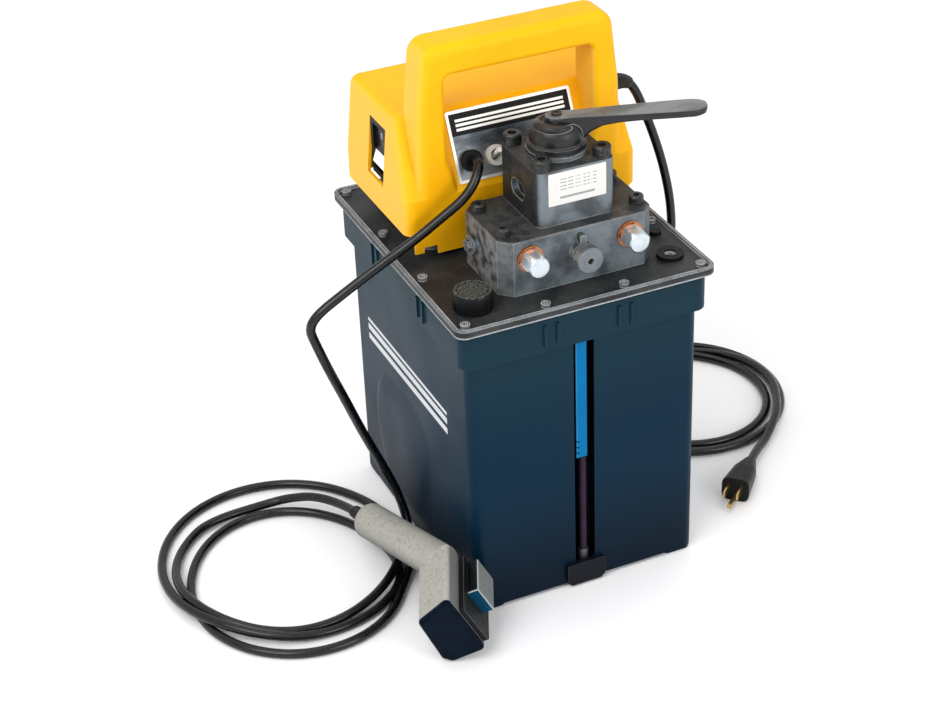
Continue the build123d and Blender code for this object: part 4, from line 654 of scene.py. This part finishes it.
def strainer_mesh():
    look = Finish("strainer_mesh", (0.40, 0.41, 0.42), 0.35, metal=0.9)
    look.tint(look.fit(look.cells(1.2), 0.3, 0.5), (0.06, 0.06, 0.06))
    look.relief(look.cells(1.2), 0.25)
    return look.done()


# ---- detailed pieces ----------------------------------------------------------------------
SHARP_EDGE = radians(32)
KNURL_DEPTH = 0.035          # share of the radius
VALVE_AXIS = (12, -59)
VALVE_TOP = 405
VALVE_SCREW = 28.3           # from the valve's axis, along X and along Y
MANIFOLD_X = 8
MANIFOLD_TOP = 354
MANIFOLD_SCREW_X = 63        # from the manifold's middle
MANIFOLD_SCREW_Y = (-91.5, -42)
PORT_X = 47                  # from the manifold's middle
PORT_Y, PORT_Z = -110.9, 337
FILLER_AT = (-92, -108.5, 0)


def add_piece(name, verts, faces, materials, body, slot, replaced=(), picks=None):
    """A mesh piece in model millimetres, riding a body; picks gives each face's material."""
    mesh = bpy.data.meshes.new(name)
    mesh.from_pydata([Vector(v) * MM for v in verts], [], faces)
    for material in materials:
        mesh.materials.append(material)
    for index, polygon in enumerate(mesh.polygons):
        polygon.use_smooth = True
        if picks:
            polygon.material_index = picks[index]
    mesh.update()
    made = bpy.data.objects.new(name, mesh)
    bpy.context.scene.collection.objects.link(made)
    mesh.set_sharp_from_angle(angle=SHARP_EDGE)
    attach(made, body)
    if replaced:
        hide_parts(*replaced)
    return made


def ring_radius(kind, radius, angle, teeth):
    """A ring's radius at an angle: round, knurled, or the hexagon of that half width."""
    if kind == "knurl":
        return radius - KNURL_DEPTH * radius * (0.5 + 0.5 * cos(angle * teeth)) ** 2
    if kind == "hex":
        return radius / cos((angle % (pi / 3)) - pi / 6)
    return radius


def lofted(sections):
    """Skin a run of closed sections of equal count, closing both ends."""
    count = len(sections[0])
    verts = [point for section in sections for point in section]
    faces = []
    for index in range(len(sections) - 1):
        low, high = index * count, (index + 1) * count
        for side in range(count):
            following = (side + 1) % count
            faces.append((low + side, low + following, high + following, high + side))
    faces.append(tuple(reversed(range(count))))
    faces.append(tuple(range(len(verts) - count, len(verts))))
    return verts, faces


def turned(rings, origin, axis, across, sides=96, teeth=32):
    """Vertices and faces of a turned shape; each ring is (kind, radius, height)."""
    axis, across = Vector(axis).normalized(), Vector(across).normalized()
    third = axis.cross(across)
    sections = []
    for kind, radius, height in rings:
        section = []
        for side in range(sides):
            angle = 2 * pi * side / sides
            reach = ring_radius(kind, radius, angle, teeth)
            section.append(Vector(origin) + axis * height
                           + across * reach * cos(angle) + third * reach * sin(angle))
        sections.append(section)
    return lofted(sections)


def joined(parts):
    verts, faces = [], []
    for more_verts, more_faces in parts:
        start = len(verts)
        verts += more_verts
        faces += [tuple(start + index for index in face) for face in more_faces]
    return verts, faces


def socket_head(at, radius, height, socket):
    """A knurled socket-head screw's head standing on a point."""
    rings = [("round", radius - 0.5, 0), ("round", radius, 0.5), ("knurl", radius, 0.9),
             ("knurl", radius, height - 1.5), ("round", radius, height - 1.1),
             ("round", radius - 0.9, height), ("round", radius * 0.80, height),
             ("hex", socket / 2, height), ("hex", socket / 2, height - socket * 0.6)]
    return turned(rings, at, (0, 0, 1), (1, 0.3, 0))


def make_screws():
    oxide = black_oxide()
    both_ways = (-VALVE_SCREW, VALVE_SCREW)
    heads = [socket_head((VALVE_AXIS[0] + dx, VALVE_AXIS[1] + dy, VALVE_TOP), 8.0, 10.0, 8.0)
             for dx in both_ways for dy in both_ways]
    add_piece("valve_screw_heads", *joined(heads), [oxide], ROOT, "screw_steel", ["valve_screws"])
    heads = [socket_head((MANIFOLD_X + side * MANIFOLD_SCREW_X, y, MANIFOLD_TOP), 6.5, 8.0, 6.0)
             for side in (-1, 1) for y in MANIFOLD_SCREW_Y]
    add_piece("manifold_screw_heads", *joined(heads), [oxide], ROOT, "screw_steel",
              ["manifold_screws"])


def cap_finish():
    look = Finish("cap_moulding", (0.0045, 0.005, 0.0055), 0.40, specular=0.16)
    top = look.fit(look.along((0, 0, 1)), 320.4, 320.9)
    grain = look.fit(look.noise(1.3, 4), 0.42, 0.62)
    look.tint(look.math("MULTIPLY", top, look.math("MULTIPLY", grain, 0.8)), (0.13, 0.14, 0.12))
    look.tint(look.math("MULTIPLY", look.edge(0.5), 0.6), (0.20, 0.21, 0.21))
    look.relief(look.math("MULTIPLY", look.noise(1.3, 4), top), 0.25)
    look.relief(look.noise(0.8, 3), 0.03)
    return look.done()


def make_filler_cap():
    rings = [("round", 16.0, 303.4), ("round", 16.6, 304.0), ("knurl", 17.2, 304.8),
             ("knurl", 17.2, 318.2), ("round", 16.9, 319.0), ("round", 16.2, 320.6),
             ("round", 15.6, 321.2), ("round", 14.0, 321.2), ("round", 13.6, 320.6),
             ("round", 12.6, 320.6), ("round", 12.2, 321.0), ("round", 1.0, 321.2)]
    shape = turned(rings, FILLER_AT, (0, 0, 1), (1, 0, 0), sides=160, teeth=40)
    add_piece("filler_cap_moulding", *shape, [cap_finish()], "cap", "black_plastic",
              ["filler_cap"])


def make_pendant_relief():
    rings = [("round", 4.9, 0.0)]
    for turn in range(8):
        start = 1.0 + 4.0 * turn
        wide = 6.2 + 0.33 * turn
        rings += [("round", wide - 1.6, start), ("round", wide - 0.3, start + 0.4),
                  ("round", wide, start + 1.3), ("round", wide - 0.3, start + 2.2),
                  ("round", wide - 1.6, start + 2.6)]
    rings += [("round", 7.2, 33.9)]
    sleeve = plastic("relief_ribs", (0.004, 0.0045, 0.005), rough=0.22, specular=0.5, pale_edges=0.35)
    add_piece("pendant_relief_ribs", *turned(rings, RELIEF_BACK, GRIP_DIR, (0, 0, 1), sides=40),
              [sleeve], ROOT, "black_rubber", ["pendant_relief"])


HEAD_DIR = (HEAD_TIP - ELBOW).normalized()
HEAD_SIDE = Vector((0, 0, 1)).cross(HEAD_DIR).normalized()
HEAD_UP = HEAD_DIR.cross(HEAD_SIDE).normalized()
FACE_RUN = Vector((37.9 - 7.1, -37.2 - 28.5, 0)).normalized()
ROCKER_SIDE = HEAD_SIDE * FACE_RUN.x + HEAD_UP * FACE_RUN.y
BEVEL_N = HEAD_DIR.cross(ROCKER_SIDE).normalized()
FACE_DOWN = Vector((7.1, 28.5, 0)) + FACE_RUN * 45.5
ROCKER_SIZE = (35.5, 31.0, 11.5)
ROCKER_BEVEL = 0.9
ROCKER_OUT = 0.3 + 2.0 + 7.0  # clearance, frame, and the height of the middle above it
ARRIS_AREA = 60               # a bevel's face is smaller than this
GREY, BLUE, SHADED_SIDE, ARRIS = range(4)
ROCKER_MID = ELBOW + HEAD_DIR * 21.5 + HEAD_SIDE * FACE_DOWN.x + HEAD_UP * FACE_DOWN.y


def make_rocker():
    """The pendant's rocker: grey top, blue end, black sides that are painted shade, pale arrises
    that are painted highlights.
    """
    shape = bmesh.new()
    bmesh.ops.create_cube(shape, size=1)
    for vert in shape.verts:
        vert.co = vert.co * Vector(ROCKER_SIZE)
    made = bmesh.ops.bevel(shape, geom=shape.edges[:], offset=ROCKER_BEVEL, segments=1,
                           affect="EDGES")
    edged = set(made["faces"])
    verts = [ROCKER_MID + BEVEL_N * ROCKER_OUT + HEAD_DIR * v.co.x + ROCKER_SIDE * v.co.y
             - BEVEL_N * v.co.z for v in shape.verts]
    faces, picks = [], []
    for face in shape.faces:
        faces.append(tuple(v.index for v in face.verts))
        if face in edged and face.calc_area() < ARRIS_AREA:
            picks.append(ARRIS)
        elif face.normal.z < -0.9:
            picks.append(GREY)
        elif face.normal.x > 0.9:
            picks.append(BLUE)
        else:
            picks.append(SHADED_SIDE)
    shape.free()
    # the black sides are painted shade, the pale arrises painted highlights
    looks = [plastic("rocker_grey", (0.17, 0.185, 0.18), rough=0.35),
             plastic("rocker_blue_end", (0.001, 0.05, 0.105), rough=0.3),
             plastic("rocker_side_shade", (0.002, 0.0025, 0.003), rough=0.3),
             plastic("rocker_arris_highlight", (0.33, 0.36, 0.37), rough=0.3)]
    add_piece("pendant_rocker_cap", verts, faces, looks, "pendant_button", "grey_plastic",
              ["pendant_rocker"], picks)


def rounded_section(middle, across, upward, half_w, half_h, power=5.0, count=48):
    points = []
    for step in range(count):
        angle = 2 * pi * step / count
        c, s = cos(angle), sin(angle)
        x = half_w * (1 if c >= 0 else -1) * abs(c) ** (2 / power)
        y = half_h * (1 if s >= 0 else -1) * abs(s) ** (2 / power)
        points.append(middle + across * x + upward * y)
    return points


def between(value, table):
    """Linear interpolation in a short list of (position, value) pairs."""
    for (x0, y0), (x1, y1) in zip(table, table[1:]):
        if value <= x1:
            return y0 + (y1 - y0) * (value - x0) / (x1 - x0)
    return table[-1][1]


def lever_finish():
    look = Finish("lever_casting", (0.012, 0.013, 0.014), 0.30, specular=0.35)
    # painted light: the lever's top faces are lighter grey, in patches
    top = look.math("MULTIPLY", look.facing((0, 0, 1), 0.80, 0.99), look.fit(
        look.along((0, 0, 1)), 436.0, 436.8))
    patchy = look.fit(look.noise(26, 4, stretch=(0.5, 1, 1)), 0.3, 0.62, 0.35, 1)
    look.tint(look.math("MULTIPLY", top, patchy), (0.17, 0.18, 0.175))
    look.tint(look.fit(look.noise(5, 4), 0.56, 0.74, 0, 0.35), (0.05, 0.05, 0.05))
    look.tint(look.math("MULTIPLY", look.edge(1.4), 0.8), (0.42, 0.43, 0.42))
    look.gloss(look.fit(look.noise(9, 4), 0.4, 0.7), 0.42)
    look.relief(look.noise(1.2, 3), 0.03)
    return look.done()


LEVER_TOP = 437.5
LEVER_TURN = radians(-18.5)


def make_lever():
    """The cast lever: a round hub, a fin-edged lobe on it, and a tapering round-ended arm."""
    pivot = Vector((*VALVE_AXIS, 0))
    ahead = Vector((cos(LEVER_TURN), sin(LEVER_TURN), 0))
    left = Vector((-ahead.y, ahead.x, 0))
    up = Vector((0, 0, 1))
    hub = turned([("round", 25.0, 409.4), ("round", 25.2, 410.6), ("round", 25.0, 414.2),
                  ("round", 23.4, 415.4), ("round", 23.2, 416.4), ("round", 23.6, 417.6),
                  ("round", 23.2, 423.0), ("round", 22.2, 426.6), ("round", 20.2, 429.4),
                  ("round", 17.4, 431.2), ("round", 15.4, 431.6), ("round", 14.0, 431.0),
                  ("round", 11.5, 430.8), ("round", 10.5, 431.6), ("round", 9.8, 435.2),
                  ("round", 8.8, 436.4), ("round", 2.0, 436.6)], pivot, up, ahead, sides=112)
    widths = [(-9, 5.0), (-6, 8.6), (0, 10.2), (20, 10.4), (40, 10.6), (104, 13.0), (116, 12.9),
              (122, 11.4), (126, 8.2), (128, 4.0)]
    depths = [(-9, 7), (0, 9), (14, 24), (20, 23), (28, 15), (38, 10), (52, 8), (70, 7.2),
              (118, 7.0), (126, 6.0), (128, 4.4)]
    sections = []
    for reach in list(range(-9, 120, 3)) + [119, 121, 123, 124.5, 126, 127, 127.7, 128]:
        half_w, deep = between(reach, widths), between(reach, depths)
        middle = pivot + ahead * reach + up * (LEVER_TOP - 0.3 - deep / 2)
        sections.append(rounded_section(middle, left, up, half_w, deep / 2))
    lobe = []
    for step in range(25):
        angle = LEVER_TURN + radians(-200 + 150 * step / 24)
        out = Vector((cos(angle), sin(angle), 0))
        swell = sin(pi * step / 24) ** 0.5
        middle = pivot + out * 17.2 + up * (430.2 + 1.2 * swell)
        lobe.append(rounded_section(middle, out, up, 0.6 + 4.6 * swell, 0.6 + 3.0 * swell, 2.4, 24))
    add_piece("valve_lever_casting", *joined([hub, lofted(sections), lofted(lobe)]),
              [lever_finish()], "lever", "dark_iron", ["valve_lever"])


def make_port_plugs():
    """Bright hexagon plugs with rounded faces in the two oil ports."""
    rings = [("round", 9.0, 0.0), ("round", 9.2, 0.6), ("hex", 9.4, 1.6), ("hex", 9.4, 15.6),
             ("round", 9.4, 17.6), ("round", 8.4, 18.6), ("round", 6.6, 19.0)]
    plugs = [turned(rings, (MANIFOLD_X + side * PORT_X, PORT_Y, PORT_Z), (0, -1, 0),
                    (1, 0, 0.15), sides=72) for side in (-1, 1)]
    add_piece("port_plug_heads", *joined(plugs), [bright_zinc()], ROOT, "plug_steel",
              ["port_plugs"])


def make_swage():
    """The shallow round swage of the left wall: its far rim shows, the rest runs into the wall."""
    sections = []
    for index, (radius, rise) in enumerate([(92.2, SWAGE_ROOT)] + SWAGE_PROFILE):
        section = []
        for step in range(SWAGE_SIDES):
            angle = 2 * pi * step / SWAGE_SIDES
            y = SWAGE_MID[0] + radius * cos(angle)
            z = max(SWAGE_FOOT, SWAGE_MID[1] + radius * sin(angle))
            shown = ease(y, -60, 20) * ease(z, 160, 120) * ease(z, 8, 24)
            out = SWAGE_ROOT + (rise - SWAGE_ROOT) * shown if index else 2 * SWAGE_ROOT
            section.append(Vector((-WALL_HALF - out, y, z)))
        sections.append(section)
    add_piece("tank_swage", *lofted(sections), [enamel_look], ROOT, "tank_enamel")


def make_mains_relief():
    """A ribbed, tapered sleeve that follows the first bend of the mains lead."""
    start, bend = Vector((118, 40, 404)), Vector((128.5, 40, 404))
    end = Vector((133.5, 39.75, 399.25))
    stations = [(Vector((x, 40, 404)), Vector((1, 0, 0)), r) for x, r in (
        (99.0, 8.4), (99.6, 9.0), (102.4, 9.0), (103.0, 7.0), (109.5, 7.0), (109.6, 8.6),
        (111.4, 9.0), (113.4, 8.9), (114.6, 7.3), (116.0, 7.2), (116.8, 8.4), (117.8, 8.4))]
    for step in range(1, 29):
        t = step / 28
        spot = start * (1 - t) ** 2 + bend * 2 * t * (1 - t) + end * t * t
        ahead = ((bend - start) * (1 - t) + (end - bend) * t).normalized()
        rib = 0.9 if step % 4 in (1, 2) else 0.0
        stations.append((spot, ahead, 7.2 - 2.2 * t + rib * (1 - 0.4 * t)))
    sections = []
    for spot, ahead, radius in stations:
        across = Vector((0, 1, 0))
        across = (across - ahead * across.dot(ahead)).normalized()
        sections.append(rounded_section(spot, across, ahead.cross(across), radius, radius, 2.0,
                                        40))
    sleeve = plastic("mains_relief_ribs", (0.004, 0.0045, 0.005), rough=0.25, specular=0.4,
                     pale_edges=0.35)
    add_piece("mains_relief", *lofted(sections), [sleeve], ROOT, "black_rubber", ["power_gland"])


enamel_look = tank_enamel()
make_swage()
make_screws()
make_lever()
make_mains_relief()
make_port_plugs()
make_filler_cap()
make_pendant_relief()
make_rocker()


# ---- finishes of the carried-over CAD nodes -----------------------------------------------
iron = worn_iron()
black = plastic("black_moulding", (0.004, 0.0045, 0.005))
grey = plastic("grey_moulding", (0.30, 0.30, 0.285), rough=0.4)
jacket = cord_jacket()
oxide = black_oxide()
steel = bare_steel()
paint = motor_paint()
LOOKS = {
    enamel_look: ["reservoir_tank"],
    plastic("gasket_rubber", (0.004, 0.004, 0.0045), rough=0.6): ["lid_gasket"],
    grained_lid(): ["lid_plate"],
    oxide: ["shroud_screws", "lever_screw"],
    # lid screws: their pale edges are wear and painted highlight
    worn_iron("screw_wear_and_highlight", (0.10, 0.10, 0.10), (0.75, 0.75, 0.74)): ["lid_screws"],
    gauge_tube(): ["sight_tube"],
    gauge_blue(): ["level_strip"],
    bare_steel("dull_fitting", (0.16, 0.165, 0.17), rough=0.45): ["gauge_fittings"],
    plastic("bracket_black", (0.0015, 0.003, 0.007), rough=0.3): ["gauge_bracket"],
    black: ["lid_port_plugs", "motor_fan", "switch_frame", "pendant_gland"],
    # pendant frame: its strong pale edges are painted highlights
    plastic("frame_black", (0.004, 0.0045, 0.005), pale_edges=0.85): ["pendant_frame"],
    grey: ["vent_insert", "control_electrics"],
    plastic("toggle_cream", (0.52, 0.51, 0.45), rough=0.35): ["toggle_body"],
    plastic("white_tip", (0.80, 0.79, 0.76), rough=0.3): ["toggle_lever"],
    bare_steel("machined_aluminium", (0.58, 0.59, 0.60)): ["pump_body", "filler_neck"],
    moulded_yellow(): ["shroud"],
    iron: ["manifold", "valve_body", "valve_collar", "side_plug", "relief_body", "motor_base"],
    paint: ["motor_housing", "motor_end_cap"],
    steel: ["motor_stator", "motor_bearings", "motor_rotor", "pump_pistons", "oil_pipes",
            "valve_rotor"],
    worn_iron("grey_iron", (0.055, 0.058, 0.060), (0.30, 0.30, 0.30)): ["relief_adjuster"],
    strainer_mesh(): ["intake_strainer"],
    panel_plate(): ["control_panel"],
    rocker_faces(): ["main_rocker"],
    copper(): ["copper_washers"],
    data_plate(): ["data_plate"],
    grained_grip(): ["pendant_grip"],
    head_cap(): ["pendant_cap"],
    plastic("plug_rubber", (0.004, 0.0045, 0.005), rough=0.35): ["plug_body"],
    brass_blades(): ["plug_blades"],
}
for material, names in LOOKS.items():
    for name in names:
        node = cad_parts[name]
        node.data.materials.clear()
        node.data.materials.append(material)

# ---- the two cords ------------------------------------------------------------------------
pendant_line = cord_curve(
    "pendant_cord_line",
    PENDANT_ROUTE
    + coil_points(PENDANT_COIL_AT, PENDANT_TURNS, 43.4, 980, PENDANT_HUMPS)
    + LEAD_ROUTE,
    jacket,
)
power_line = cord_curve(
    "power_cord_line",
    POWER_ROUTE
    + coil_points(POWER_COIL_AT, POWER_TURNS, -84, 758, POWER_HUMPS)
    + PLUG_LEAD_ROUTE,
    jacket,
)
for line in (pendant_line, power_line):
    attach(line, ROOT)
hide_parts("pendant_cord", "pendant_coil", "pendant_lead")
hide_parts("power_cord", "power_coil", "plug_lead")

bpy.context.scene.view_settings.view_transform = "Standard"
